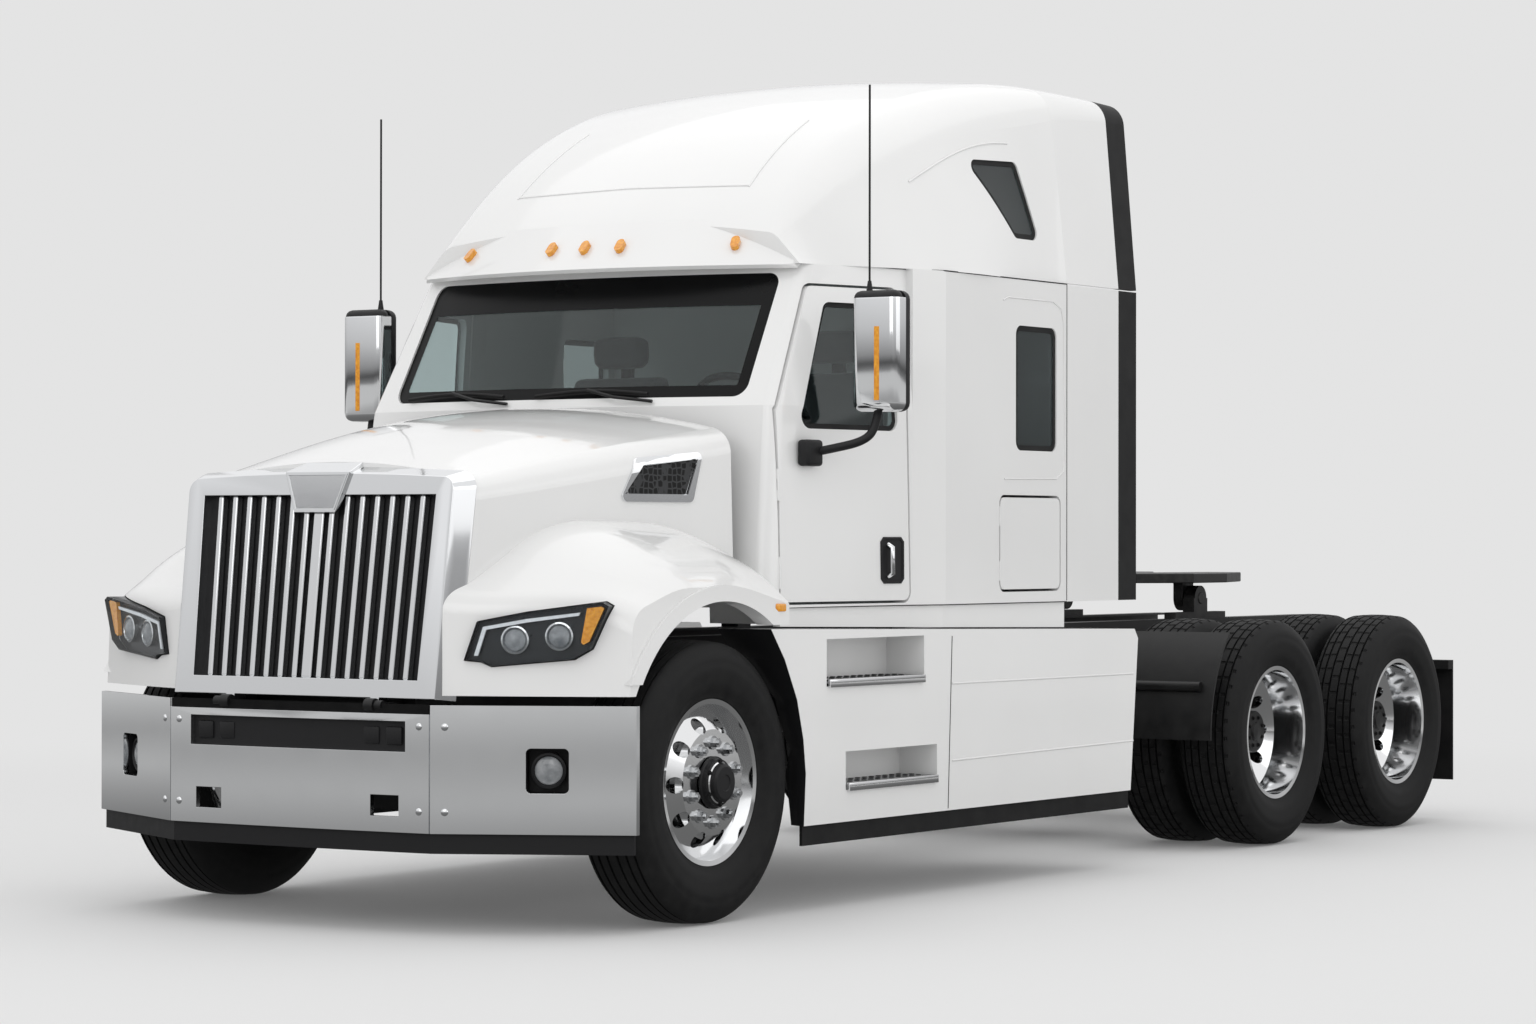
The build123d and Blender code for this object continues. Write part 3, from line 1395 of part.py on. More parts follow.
engine_front_y = -420
engine_rear_y = 480
gearbox_rear_y = 1250
shaft_z = 620
with BuildPart() as driveline:
    add(block(-300, 300, engine_front_y, engine_rear_y, 690, 1420))
    add(block(-190, 190, engine_rear_y, gearbox_rear_y, 560, 830))
    for y in crossmember_ys:
        add(block(-400, 400, y - crossmember_length / 2 - 2, y + crossmember_length / 2 + 2, 700, 990),
            mode=Mode.SUBTRACT)
    add(block(-400, 400, -600, -500, frame_top_z, 1480))
    with BuildSketch(Plane.XZ.offset(-at(gearbox_rear_y))):
        with Locations((0, shaft_z)):
            Circle(driveshaft_radius)
    extrude(amount=-(drive_axle_ys[0] - differential_radius - gearbox_rear_y + 30))
    add(drive_axles.part, mode=Mode.SUBTRACT)
keep("driveline", driveline)

# ---------------------------------------------------------------- quarter fenders, mud flaps and tail lamps
with BuildPart() as quarter_fenders:
    arc_low, arc_high = quarter_angles
    first_y = drive_axle_ys[0]
    with BuildSketch(Plane.YZ.offset(quarter_inner_x)):
        with BuildLine():
            CenterArc((at(first_y), axle_height), quarter_radius, arc_low, arc_high - arc_low)
            CenterArc((at(first_y), axle_height), quarter_radius + quarter_wall, arc_low, arc_high - arc_low)
            for angle in quarter_angles:
                turn = radians(angle)
                Line(
                    (at(first_y) + quarter_radius * cos(turn), axle_height + quarter_radius * sin(turn)),
                    (at(first_y) + (quarter_radius + quarter_wall) * cos(turn),
                     axle_height + (quarter_radius + quarter_wall) * sin(turn)),
                )
        make_face()
    extrude(amount=quarter_outer_x - quarter_inner_x)
    tube_y = first_y - quarter_radius * cos(radians(quarter_tube_angle))
    tube_z = axle_height + quarter_radius * sin(radians(quarter_tube_angle))
    add(x_cylinder(hanger_radius, rail_x, quarter_outer_x - 60, tube_y - 24, tube_z))
    mirror(about=Plane.YZ)
keep("quarter_fenders", quarter_fenders)

with BuildPart() as mud_flaps:
    add(block(flap_inner_x, flap_outer_x, flap_y - flap_wall, flap_y, flap_bottom_z, flap_top_z))
    add(block(flap_inner_x - 60, flap_outer_x, flap_y - 60, flap_y, flap_top_z, flap_top_z + 44))
    add(block(flap_inner_x - 100, flap_inner_x, frame_rear_y - 80, flap_y, flap_top_z, flap_top_z + 44))
    add(block(rail_x, flap_inner_x - 40, frame_rear_y - 80, frame_rear_y - 36, flap_top_z, flap_top_z + 44))
    mirror(about=Plane.YZ)
keep("mud_flaps", mud_flaps)

with BuildPart() as tail_lamps:
    lamp_width, lamp_height, lamp_wall = tail_lamp
    for side in (1, -1):
        low, high = sorted((side * rail_x, side * (rail_x - lamp_width)))
        add(block(low, high, frame_rear_y, frame_rear_y + lamp_wall, tail_lamp_z, tail_lamp_z + lamp_height))
keep("tail_lamps", tail_lamps)

# ---------------------------------------------------------------- fifth wheel
with BuildPart() as fifth_wheel_mount:
    for side in (1, -1):
        low, high = sorted((side * (rail_x - 10), side * (rail_x - 10 - fifth_bracket_wall)))
        add(block(low, high, fifth_y - 260, fifth_y + 260, frame_top_z, frame_top_z + 30))
        add(block(low, high, fifth_y - 70, fifth_y + 70, frame_top_z, fifth_pivot_z))
        add(x_cylinder(fifth_eye_radius, low, high, fifth_y, fifth_pivot_z))
        add(x_cylinder(fifth_pin_radius + bearing_gap, low - 1, high + 1, fifth_y, fifth_pivot_z), mode=Mode.SUBTRACT)
keep("fifth_wheel_mount", fifth_wheel_mount)

with BuildPart() as fifth_wheel:
    plate_low = fifth_top_z - fifth_plate_wall
    with BuildSketch(Plane.XY.offset(plate_low)) as plate:
        with BuildLine():
            Polyline(
                [
                    (-300, at(fifth_y - fifth_front_reach)), (300, at(fifth_y - fifth_front_reach)),
                    (fifth_half_width, at(fifth_y - 190)), (fifth_half_width, at(fifth_y + 160)),
                    (330, at(fifth_y + fifth_rear_reach)), (150, at(fifth_y + fifth_rear_reach)),
                    (fifth_throat_half, at(fifth_y + 110)), (-fifth_throat_half, at(fifth_y + 110)),
                    (-150, at(fifth_y + fifth_rear_reach)), (-330, at(fifth_y + fifth_rear_reach)),
                    (-fifth_half_width, at(fifth_y + 160)), (-fifth_half_width, at(fifth_y - 190)),
                ],
                close=True,
            )
        make_face()
        with BuildLine():
            CenterArc((0, at(fifth_y)), fifth_throat_half, 180, 180)
            Line((-fifth_throat_half, at(fifth_y)), (-fifth_throat_half, at(fifth_y + 111)))
            Line((-fifth_throat_half, at(fifth_y + 111)), (fifth_throat_half, at(fifth_y + 111)))
            Line((fifth_throat_half, at(fifth_y + 111)), (fifth_throat_half, at(fifth_y)))
        make_face(mode=Mode.SUBTRACT)
    extrude(amount=fifth_plate_wall)
    for side in (1, -1):
        inner = side * (rail_x - 10 - fifth_bracket_wall - moving_gap)
        low, high = sorted((inner, inner - side * 50))
        add(block(low, high, fifth_y - 60, fifth_y + 60, fifth_pivot_z, plate_low + 5))
        add(x_cylinder(fifth_eye_radius, low, high, fifth_y, fifth_pivot_z))
        pin_low, pin_high = sorted((inner - side * 40, side * (rail_x - 6)))
        add(x_cylinder(fifth_pin_radius, pin_low, pin_high, fifth_y, fifth_pivot_z))
keep("fifth_wheel", fifth_wheel)

# ---------------------------------------------------------------- cabin furniture
cabin_floor_z = body_bottom_z + floor_wall
with BuildPart() as seats:
    for side in (1, -1):
        x_low = side * seat_x - seat_width / 2
        x_high = side * seat_x + seat_width / 2
        add(block(x_low + 60, x_high - 60, seat_y - 190, seat_y + 190, cabin_floor_z, seat_height - cushion_wall))
        add(block(x_low, x_high, seat_y - seat_depth / 2, seat_y + seat_depth / 2, seat_height - cushion_wall,
                  seat_height))
        add(block(x_low, x_high, seat_y + seat_depth / 2 - seat_back_wall, seat_y + seat_depth / 2, seat_height,
                  seat_height + seat_back_height))
keep("seats", seats)

with BuildPart() as bunk:
    mattress_half = sleeper_half_width - cab_wall - mattress_gap
    add(block(-mattress_half, mattress_half, bunk_front_y + mattress_gap / 2, sleeper_rear_y - cab_wall - mattress_gap,
              bunk_shelf_z + bunk_wall + fit_gap, bunk_shelf_z + bunk_wall + mattress_wall))
keep("bunk", bunk)

dash_front_y = cab_belt[1] + cab_wall + 40
with BuildPart() as dashboard:
    dash_rear_y = dash_front_y + dash_depth
    add(block(-dash_half, dash_half, dash_front_y, dash_rear_y, dash_bottom_z, dash_top_z)
        & cab_solid(cab_wall + moving_gap))
    add(block(-dash_ledge_half, dash_ledge_half, cab_front_y, dash_front_y + 1, dash_top_z - dash_ledge_wall, dash_top_z)
        & cab_solid(cab_wall))
keep("dashboard", dashboard)

wheel_tilt = 55
wheel_centre = (seat_x, dash_rear_y + 235, 1880)
with BuildPart() as steering_wheel:
    rim_plane = Plane(
        origin=(wheel_centre[0], at(wheel_centre[1]), wheel_centre[2]),
        x_dir=(1, 0, 0),
        z_dir=(0, cos(radians(wheel_tilt)), sin(radians(wheel_tilt))),
    )
    with Locations(rim_plane):
        Torus(steering_wheel_radius, steering_wheel_tube)
    with BuildSketch(rim_plane.offset(-20)):
        Circle(55)
    extrude(amount=30)
    with BuildSketch(rim_plane.offset(-8)):
        Rectangle(2 * steering_wheel_radius - 10, 30)
    extrude(amount=16)
    with BuildSketch(rim_plane.offset(-10)):
        Circle(28)
    extrude(amount=-column_length)
    add(dashboard.part, mode=Mode.SUBTRACT)
keep("steering_wheel", steering_wheel)

# ---------------------------------------------------------------- lamps
marker_xs = (-660, -170, 0, 170, 660)
marker_length = 62
marker_width = 34
with BuildPart() as marker_lamps:
    rise = atan2(visor_top_z - visor_tip_z, visor_rise_y)
    for x in marker_xs:
        turn = asin(x / visor_bow_radius)
        reach = visor_bow_radius - 75
        place = Plane(
            origin=(reach * sin(turn), at(visor_tip_y + visor_bow_radius) - reach * cos(turn), visor_tip_z + 82),
            x_dir=(cos(turn), sin(turn), 0),
            z_dir=(sin(turn) * sin(rise), -cos(turn) * sin(rise), cos(rise)),
        )
        with BuildSketch(place):
            SlotOverall(marker_length, marker_width, rotation=90)
        extrude(amount=20)
    add(roof_fairing.part, mode=Mode.SUBTRACT)
keep("marker_lamps", marker_lamps)

os.makedirs("parts", exist_ok=True)
for name, part in parts.items():
    export_step(part, f"parts/{name}.step")
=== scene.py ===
# %% [markdown]
# A highway truck tractor: a sleeper cab on a ladder frame, with a chrome grille and bumper,
# polished wheels and a fifth wheel. The CAD model gives every size and every moving body. This file
# gives the looks: finishes for the solids, and finer pieces where a solid alone looks plain.
# Everything is in metres, with the truck facing -Y and its left side towards +X.

# %% Load the frame
import json
import math

import bmesh
import bpy
from mathutils import Matrix, Vector


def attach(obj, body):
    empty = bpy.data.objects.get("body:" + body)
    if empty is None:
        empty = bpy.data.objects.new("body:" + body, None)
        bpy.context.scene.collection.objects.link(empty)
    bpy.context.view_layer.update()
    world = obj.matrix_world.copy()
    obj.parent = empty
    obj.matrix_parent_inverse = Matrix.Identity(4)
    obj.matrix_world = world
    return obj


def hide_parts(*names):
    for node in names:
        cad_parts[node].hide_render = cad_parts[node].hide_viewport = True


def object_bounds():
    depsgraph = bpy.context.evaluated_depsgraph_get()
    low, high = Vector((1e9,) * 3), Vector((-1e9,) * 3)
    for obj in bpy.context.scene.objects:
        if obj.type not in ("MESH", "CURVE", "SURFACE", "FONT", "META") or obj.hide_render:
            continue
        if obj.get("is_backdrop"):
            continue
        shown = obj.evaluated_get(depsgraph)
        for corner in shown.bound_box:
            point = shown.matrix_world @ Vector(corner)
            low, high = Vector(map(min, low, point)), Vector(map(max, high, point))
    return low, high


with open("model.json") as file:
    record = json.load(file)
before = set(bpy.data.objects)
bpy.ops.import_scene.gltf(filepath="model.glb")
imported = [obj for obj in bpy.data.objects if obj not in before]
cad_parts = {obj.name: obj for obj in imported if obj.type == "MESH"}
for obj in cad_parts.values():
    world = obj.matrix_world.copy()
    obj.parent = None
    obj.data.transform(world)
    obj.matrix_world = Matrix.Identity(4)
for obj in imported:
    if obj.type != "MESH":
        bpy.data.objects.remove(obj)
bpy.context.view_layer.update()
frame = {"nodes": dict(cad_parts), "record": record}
front_axle_y = -2.835


def at(y):
    """A place y metres behind the front axle."""
    return front_axle_y + y


# %% [markdown]
# The camera stands low in front of the truck's left corner with a long lens, so the truck keeps its
# proportions. Its three axes are worked out from a heading, a small tilt and a small roll, and set
# as the columns of its matrix.

# %% Camera
heading = math.radians(33.1002)
tilt = math.radians(0.3592)
roll = math.radians(0.069)
ahead = Vector((-math.sin(heading) * math.cos(tilt), math.cos(heading) * math.cos(tilt), math.sin(tilt)))
level_right = Vector((math.cos(heading), math.sin(heading), 0))
level_up = level_right.cross(ahead)
right = level_right * math.cos(roll) + level_up * math.sin(roll)
up = level_up * math.cos(roll) - level_right * math.sin(roll)
camera_data = bpy.data.cameras.new("camera")
camera_data.lens = 94.064
camera_data.sensor_width = 36
camera_data.clip_end = 200
camera = bpy.data.objects.new("camera", camera_data)
bpy.context.scene.collection.objects.link(camera)
turned = Matrix((right, up, -ahead)).transposed().to_4x4()
camera.matrix_world = Matrix.Translation((9.1625, at(-11.8984), 1.3839)) @ turned
bpy.context.scene.camera = camera
bpy.context.scene.view_settings.view_transform = "Standard"
print("camera at", [round(v, 2) for v in camera.location])

# %% [markdown]
# Node materials are built by small helpers. `shader` starts a material from a Principled shader,
# `add_node` and `wire` extend it, and `finish` adds the noise that varies its tone, its roughness
# and its relief, so most finishes below read as a short recipe.


# %% Helpers for node materials
def shader(name, color, roughness, metallic=0.0, **sockets):
    """A material with a Principled shader and its inputs set by name."""
    material = bpy.data.materials.new(name)
    material.use_nodes = True
    inputs = principled(material).inputs
    inputs["Base Color"].default_value = (*color, 1)
    inputs["Roughness"].default_value = roughness
    inputs["Metallic"].default_value = metallic
    for socket, value in sockets.items():
        inputs[socket.replace("_", " ")].default_value = value
    return material


def principled(material):
    return material.node_tree.nodes["Principled BSDF"]


def add_node(owner, kind, **inputs):
    """A node in a material or a world, with its inputs set by name."""
    node = owner.node_tree.nodes.new(kind)
    for socket, value in inputs.items():
        node.inputs[socket.replace("_", " ")].default_value = value
    return node


def wire(owner, source, output, target, socket):
    owner.node_tree.links.new(source.outputs[output], target.inputs[socket])


def show(owner, source, output="Material Output"):
    """The first output of a node becomes the surface."""
    wire(owner, source, 0, owner.node_tree.nodes[output], "Surface")


def mix_shaders(owner, factor, output, first, second):
    """A mix of two shaders, led by an output of another node."""
    mix = add_node(owner, "ShaderNodeMixShader")
    wire(owner, factor, output, mix, 0)
    wire(owner, first, 0, mix, 1)
    wire(owner, second, 0, mix, 2)
    return mix


def either_ray(owner, one, other):
    """A node that gives 1 for rays of two kinds and 0 for all others."""
    path = add_node(owner, "ShaderNodeLightPath")
    either = add_node(owner, "ShaderNodeMath")
    either.operation = "MAXIMUM"
    wire(owner, path, one, either, 0)
    wire(owner, path, other, either, 1)
    return either


def add_ramp(owner, stops):
    """A colour ramp with a stop for each place and colour."""
    ramp = add_node(owner, "ShaderNodeValToRGB")
    elements = ramp.color_ramp.elements
    for place, color in stops:
        elements.new(place).color = (*color, 1)
    elements.remove(elements[0])
    elements.remove(elements[-1])
    return ramp


def object_noise(material, scale, detail=3.0, stretch=(1, 1, 1)):
    """Noise on the object's own coordinates, so it stays put as a body moves."""
    place = add_node(material, "ShaderNodeTexCoord")
    mapping = add_node(material, "ShaderNodeMapping", Scale=stretch)
    noise = add_node(material, "ShaderNodeTexNoise", Scale=scale, Detail=detail)
    wire(material, place, "Object", mapping, "Vector")
    wire(material, mapping, "Vector", noise, "Vector")
    return noise


def color_by(material, source, output, low, high):
    """A pattern runs the colour between two stops, each a place and a colour."""
    ramp = add_node(material, "ShaderNodeValToRGB")
    for element, (place, color) in zip(ramp.color_ramp.elements, (low, high)):
        element.position = place
        element.color = (*color, 1)
    wire(material, source, output, ramp, "Fac")
    wire(material, ramp, "Color", principled(material), "Base Color")


def finish(name, color, roughness, metallic=0.0, grain=None, tones=None, spread=None, relief=None, **sockets):
    """A material whose noise (grain: scale, detail) runs its colour between two tones and its
    roughness over a spread. Relief is a noise of its own: scale, detail, strength, distance."""
    material = shader(name, color, roughness, metallic, **sockets)
    if grain:
        noise = object_noise(material, *grain)
    if tones:
        color_by(material, noise, "Fac", (0.3, tones[0]), (0.7, tones[1]))
    if spread:
        reach = add_node(material, "ShaderNodeMapRange", To_Min=spread[0], To_Max=spread[1])
        wire(material, noise, "Fac", reach, "Value")
        wire(material, reach, "Result", principled(material), "Roughness")
    if relief:
        scale, detail, strength, distance = relief
        bump = add_node(material, "ShaderNodeBump", Strength=strength, Distance=distance)
        wire(material, object_noise(material, scale, detail), "Fac", bump, "Height")
        wire(material, bump, "Normal", principled(material), "Normal")
    return material


# %% [markdown]
# The body paint is a white gloss coat. It keeps a trace of orange peel, the soft ripple that sprayed
# paint has, and a barely warmer tone in patches, so large panels don't read as plastic.

# %% Paints
white_paint = finish("white_body_paint", (0.83, 0.83, 0.825), 0.32, grain=(1.7, 2),
                     tones=((0.82, 0.82, 0.815), (0.845, 0.845, 0.84)), relief=(160, 1, 0.02, 0.001),
                     Coat_Weight=0.9, Coat_Roughness=0.05)
black_paint = finish("satin_black_chassis_paint", (0.007, 0.007, 0.008), 0.42, grain=(14, 5),
                     tones=((0.005, 0.005, 0.0055), (0.014, 0.014, 0.014)), spread=(0.34, 0.6),
                     Specular_IOR_Level=0.4)
cast_steel = finish("greased_cast_steel", (0.012, 0.012, 0.013), 0.4, 0.3, grain=(30, 6),
                    tones=((0.008, 0.008, 0.009), (0.03, 0.029, 0.028)), spread=(0.25, 0.6),
                    relief=(30, 6, 0.25, 0.002))

# %% [markdown]
# Bright metal comes in two kinds. Plated trim is almost a mirror, and polished aluminium keeps a
# little haze. Both get their look from what they reflect, so roughness matters most. The steps'
# aluminium carries a pattern of dark dots.

# %% Bright metals
chrome = finish("bright_chrome", (0.78, 0.79, 0.8), 0.06, 1.0, grain=(6, 4), spread=(0.035, 0.1))
aluminium = finish("polished_aluminium", (0.82, 0.825, 0.83), 0.16, 1.0, grain=(40, 2), spread=(0.07, 0.12))
tread_metal = finish("tread_plate_aluminium", (0.34, 0.345, 0.35), 0.34, 1.0, grain=(60, 4, (1, 4, 1)),
                     spread=(0.25, 0.45))


def add_cells(material, scale, randomness, feature="F1"):
    """A cell pattern on the object's own coordinates."""
    cells = add_node(material, "ShaderNodeTexVoronoi", Scale=scale, Randomness=randomness)
    cells.feature = feature
    wire(material, add_node(material, "ShaderNodeTexCoord"), "Object", cells, "Vector")
    return cells


color_by(tread_metal, add_cells(tread_metal, 55.0, 0.0), "Distance", (0.3, (0.03, 0.03, 0.031)),
         (0.4, (0.42, 0.425, 0.43)))


# %% Rubber, plastics, glass and lenses
def let_light_through(material, tint):
    """Light that isn't seen straight from the camera passes the pane with only its tint."""
    clear = add_node(material, "ShaderNodeBsdfTransparent", Color=(*tint, 1))
    passing = either_ray(material, "Is Shadow Ray", "Is Diffuse Ray")
    show(material, mix_shaders(material, passing, "Value", principled(material), clear))


tyre_rubber = finish("tyre_rubber", (0.008, 0.008, 0.009), 0.7, grain=(22, 6),
                     tones=((0.005, 0.005, 0.0055), (0.011, 0.011, 0.011)), spread=(0.6, 0.8),
                     relief=(420, 2, 0.15, 0.0006), Specular_IOR_Level=0.3)
edge_rubber = finish("edge_rubber", (0.008, 0.008, 0.009), 0.6, grain=(12, 5),
                     tones=((0.005, 0.005, 0.0055), (0.012, 0.012, 0.012)), Specular_IOR_Level=0.3)
black_plastic = finish("grained_black_plastic", (0.009, 0.009, 0.01), 0.5, grain=(20, 4), spread=(0.4, 0.6),
                       relief=(700, 2, 0.3, 0.0005), Specular_IOR_Level=0.35)
cab_glass_finish = finish("tinted_glass", (0.62, 0.7, 0.7), 0.0, grain=(1.2, 2), spread=(0.0, 0.012),
                          Transmission_Weight=1.0, IOR=1.33)
let_light_through(cab_glass_finish, (0.8, 0.86, 0.86))
lens_clear = finish("clear_lens", (0.25, 0.26, 0.27), 0.05, grain=(30, 3),
                    tones=((0.16, 0.17, 0.18), (0.34, 0.35, 0.36)), Coat_Weight=0.8)
amber_lens = finish("amber_lens", (0.85, 0.32, 0.015), 0.18, grain=(90, 2),
                    tones=((0.7, 0.24, 0.01), (0.92, 0.42, 0.03)), Coat_Weight=0.6)
red_lens = finish("red_lens", (0.5, 0.01, 0.012), 0.18, grain=(90, 2),
                  tones=((0.4, 0.008, 0.01), (0.6, 0.02, 0.02)), Coat_Weight=0.6)
fabric = finish("woven_seat_fabric", (0.11, 0.11, 0.115), 0.85, grain=(500, 1),
                tones=((0.07, 0.07, 0.075), (0.15, 0.15, 0.155)), relief=(500, 1, 0.5, 0.0008),
                Sheen_Weight=0.4)

# %% [markdown]
# The finer pieces need a few more finishes: plated nuts, the dark inside of a lamp, its clear cover,
# a white light strip, mirror glass, a near-black for printed borders and painted shade, smoked window
# films, and the honeycomb in the hood's vents.

# %% Finishes for the finer pieces
nut_steel = finish("plated_nut_steel", (0.6, 0.61, 0.62), 0.22, 1.0, grain=(40, 4), spread=(0.14, 0.32))
lamp_black = finish("lamp_bowl_black", (0.045, 0.047, 0.05), 0.3, 0.6, grain=(30, 4), spread=(0.22, 0.4))
strip_white = finish("white_light_strip", (0.82, 0.84, 0.86), 0.25, grain=(60, 2),
                     tones=((0.74, 0.76, 0.78), (0.86, 0.88, 0.9)), Coat_Weight=0.6)
mirror_glass = finish("mirror_glass", (0.75, 0.77, 0.79), 0.02, 1.0, grain=(3, 2), spread=(0.01, 0.035))
# Near-black for the windshield's printed border, and for painted shade: the windshield's top band and the
# sheet in the bumper's middle slot.
black_print_and_painted_shade = finish("near_black_print_and_painted_shade", (0.004, 0.0042, 0.0045), 0.3, grain=(4, 2), spread=(0.24, 0.36),
                    Specular_IOR_Level=0.14)
smoked_film = finish("smoked_window_film", (0.03, 0.034, 0.036), 0.03, grain=(3, 2), spread=(0.02, 0.05),
                     Alpha=0.62)
cover_glass = finish("clear_lamp_cover", (0.9, 0.92, 0.93), 0.02, grain=(5, 2), spread=(0.0, 0.015),
                     Transmission_Weight=1.0, IOR=1.2)
let_light_through(cover_glass, (0.95, 0.96, 0.97))
honeycomb = shader("honeycomb_screen", (0.015, 0.015, 0.016), 0.5, Specular_IOR_Level=0.3)
color_by(honeycomb, add_cells(honeycomb, 42.0, 0.35, "DISTANCE_TO_EDGE"), "Distance",
         (0.09, (0.04, 0.041, 0.043)), (0.15, (0.002, 0.002, 0.002)))
print("finishes made")

# %% [markdown]
# Every solid from the CAD model gets one of these finishes by the slot that its record names. A table
# also pairs each finish, finer ones included, with a slot, and the finer finishes share the nearest slot.

# %% Finish the solids
finish_of_slot = {
    "white_paint": white_paint,
    "chrome_trim": chrome,
    "black_paint": black_paint,
    "black_plastic": black_plastic,
    "black_rubber": edge_rubber,
    "cast_steel": cast_steel,
    "polished_aluminium": aluminium,
    "tyre_rubber": tyre_rubber,
    "tinted_glass": cab_glass_finish,
    "lamp_lens": lens_clear,
    "amber_lens": amber_lens,
    "red_lens": red_lens,
    "seat_fabric": fabric,
}
finer_finishes = {
    "polished_aluminium": (nut_steel, tread_metal),
    "lamp_lens": (lamp_black, cover_glass, strip_white),
    "tinted_glass": (mirror_glass, smoked_film),
    "black_plastic": (black_print_and_painted_shade, honeycomb),
}
slot_of_finish = {material.name: slot for slot, material in finish_of_slot.items()}
slot_of_finish |= {material.name: slot for slot, finer in finer_finishes.items() for material in finer}
slot_of_node = {part["node"]: part["material_slot"] for part in frame["record"]["subparts"]}
for node, thing in frame["nodes"].items():
    own_finish = finish_of_slot[slot_of_node[node]]
    if not thing.data.materials:
        thing.data.materials.append(own_finish)
    for place in range(len(thing.data.materials)):
        thing.data.materials[place] = own_finish
print(len(frame["nodes"]), "solids finished")

# %% [markdown]
# Finer pieces are made with a few shared helpers. `finish_piece` turns a mesh in progress into an
# object: its normals point outwards, its flat and curved areas shade cleanly, and it rides on the
# body that carries it, which is the chassis where no other is named. Both sides of the truck are
# alike. `side_piece` makes a piece for one side's body from the left side's shape, and `twin_piece`
# puts both sides' shapes into one piece.

# %% Helpers for pieces
side_names = {1: "left", -1: "right"}


def carry(name, data, material, body="chassis", replaced=()):
    """An object of a mesh or curve, riding on its body."""
    data.materials.append(material)
    piece = bpy.data.objects.new(name, data)
    bpy.context.scene.collection.objects.link(piece)
    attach(piece, body)
    if replaced:
        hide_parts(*replaced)
    return piece


def finish_piece(name, bm, material, body="chassis", replaced=(), sharp=32, slot=None):
    """A piece from a bmesh, with edges sharper than an angle left sharp."""
    bmesh.ops.recalc_face_normals(bm, faces=bm.faces)
    mesh = bpy.data.meshes.new(name)
    bm.to_mesh(mesh)
    bm.free()
    mesh.shade_smooth()
    mesh.set_sharp_from_angle(angle=math.radians(sharp))
    return carry(name, mesh, material, body, replaced)


def side_piece(side, name, bm, *rest, **options):
    """The left side's shape, or its mirror image for the right side, as a piece named for its side."""
    if side < 0:
        bmesh.ops.scale(bm, verts=bm.verts, vec=(-1, 1, 1))
    return finish_piece(f"{name}_{side_names[side]}", bm, *rest, **options)


def twin_piece(name, bm, *rest, **options):
    """The left side's shape and its mirror image together in one piece."""
    bmesh.ops.mirror(bm, geom=everything(bm), axis="X", merge_dist=-1)
    return finish_piece(name, bm, *rest, **options)


def everything(bm):
    return bm.verts[:] + bm.edges[:] + bm.faces[:]


def cut(bm, place, normal, **cleared):
    """Cut a mesh at a plane and clear what lies on one side of it."""
    bmesh.ops.bisect_plane(bm, geom=everything(bm), plane_co=place, plane_no=normal, **cleared)


def extrude(bm, face, shift):
    """Pull a face out by a shift, and give the faces at its new end."""
    grown = bmesh.ops.extrude_face_region(bm, geom=[face])["geom"]
    verts = [part for part in grown if isinstance(part, bmesh.types.BMVert)]
    bmesh.ops.translate(bm, verts=verts, vec=shift)
    return [part for part in grown if isinstance(part, bmesh.types.BMFace)]


def add_box(bm, low, high, rounding, segments=2):
    """A box between two corners with rounded edges."""
    size = [b - a for a, b in zip(low, high)]
    middle = Vector([(a + b) / 2 for a, b in zip(low, high)])
    matrix = Matrix.Translation(middle) @ Matrix.Diagonal((*size, 1))
    verts = bmesh.ops.create_cube(bm, size=1, matrix=matrix)["verts"]
    edges = {edge for vert in verts for edge in vert.link_edges}
    bmesh.ops.bevel(bm, geom=list(edges), offset=rounding, segments=segments, profile=0.5,
                    affect="EDGES", material=-1)


def add_cone(bm, place, radius, tip_radius, depth, sides, turn=Matrix()):
    """A capped cone or cylinder about its own middle, upright unless it is turned."""
    bmesh.ops.create_cone(bm, cap_ends=True, segments=sides, radius1=radius, radius2=tip_radius,
                          depth=depth, matrix=Matrix.Translation(place) @ turn)


def spin_line(bm, places, centre, axis, steps):
    """A line of places turned once about an axis through a centre."""
    verts = [bm.verts.new(place) for place in places]
    edges = [bm.edges.new(pair) for pair in zip(verts, verts[1:])]
    bmesh.ops.spin(bm, geom=verts + edges, cent=centre, axis=axis, dvec=(0, 0, 0), angle=math.tau,
                   steps=steps, use_merge=True)


def add_spin(bm, profile, centre, steps):
    """A turned shape about X through a centre, from x, radius points."""
    places = [(centre[0] + x, centre[1], centre[2] + radius) for x, radius in profile]
    spin_line(bm, places, centre, (1, 0, 0), steps)


def add_prism(bm, outline, depth, place):
    """A prism from a flat outline: place turns an outline point and a depth into a place in space."""
    face = bm.faces.new([bm.verts.new(place(a, b, 0)) for a, b in outline])
    extrude(bm, face, Vector(place(*outline[0], depth)) - Vector(place(*outline[0], 0)))


def tube(name, points, radius, material, body="chassis", sides=3, spline="POLY"):
    """A round bar along points."""
    data = bpy.data.curves.new(name, "CURVE")
    data.dimensions = "3D"
    data.bevel_depth = radius
    data.bevel_resolution = sides
    data.use_fill_caps = True
    line = data.splines.new(spline)
    line.points.add(len(points) - 1)
    for line_point, point in zip(line.points, points):
        line_point.co = (*point, 1)
    if spline == "NURBS":
        line.order_u = 3
        line.use_endpoint_u = True
    carry(name, data, material, body)


def side_tube(side, name, points, *rest, **options):
    """A round bar along the left side's points, or their mirror image for the right side."""
    tube(f"{name}_{side_names[side]}", [(side * x, y, z) for x, y, z in points], *rest, **options)


def cad_copy(node):
    """A bmesh copy of a CAD solid's mesh with its doubled corners merged."""
    bm = bmesh.new()
    bm.from_mesh(frame["nodes"][node].data)
    bmesh.ops.remove_doubles(bm, verts=bm.verts, dist=0.00005)
    return bm


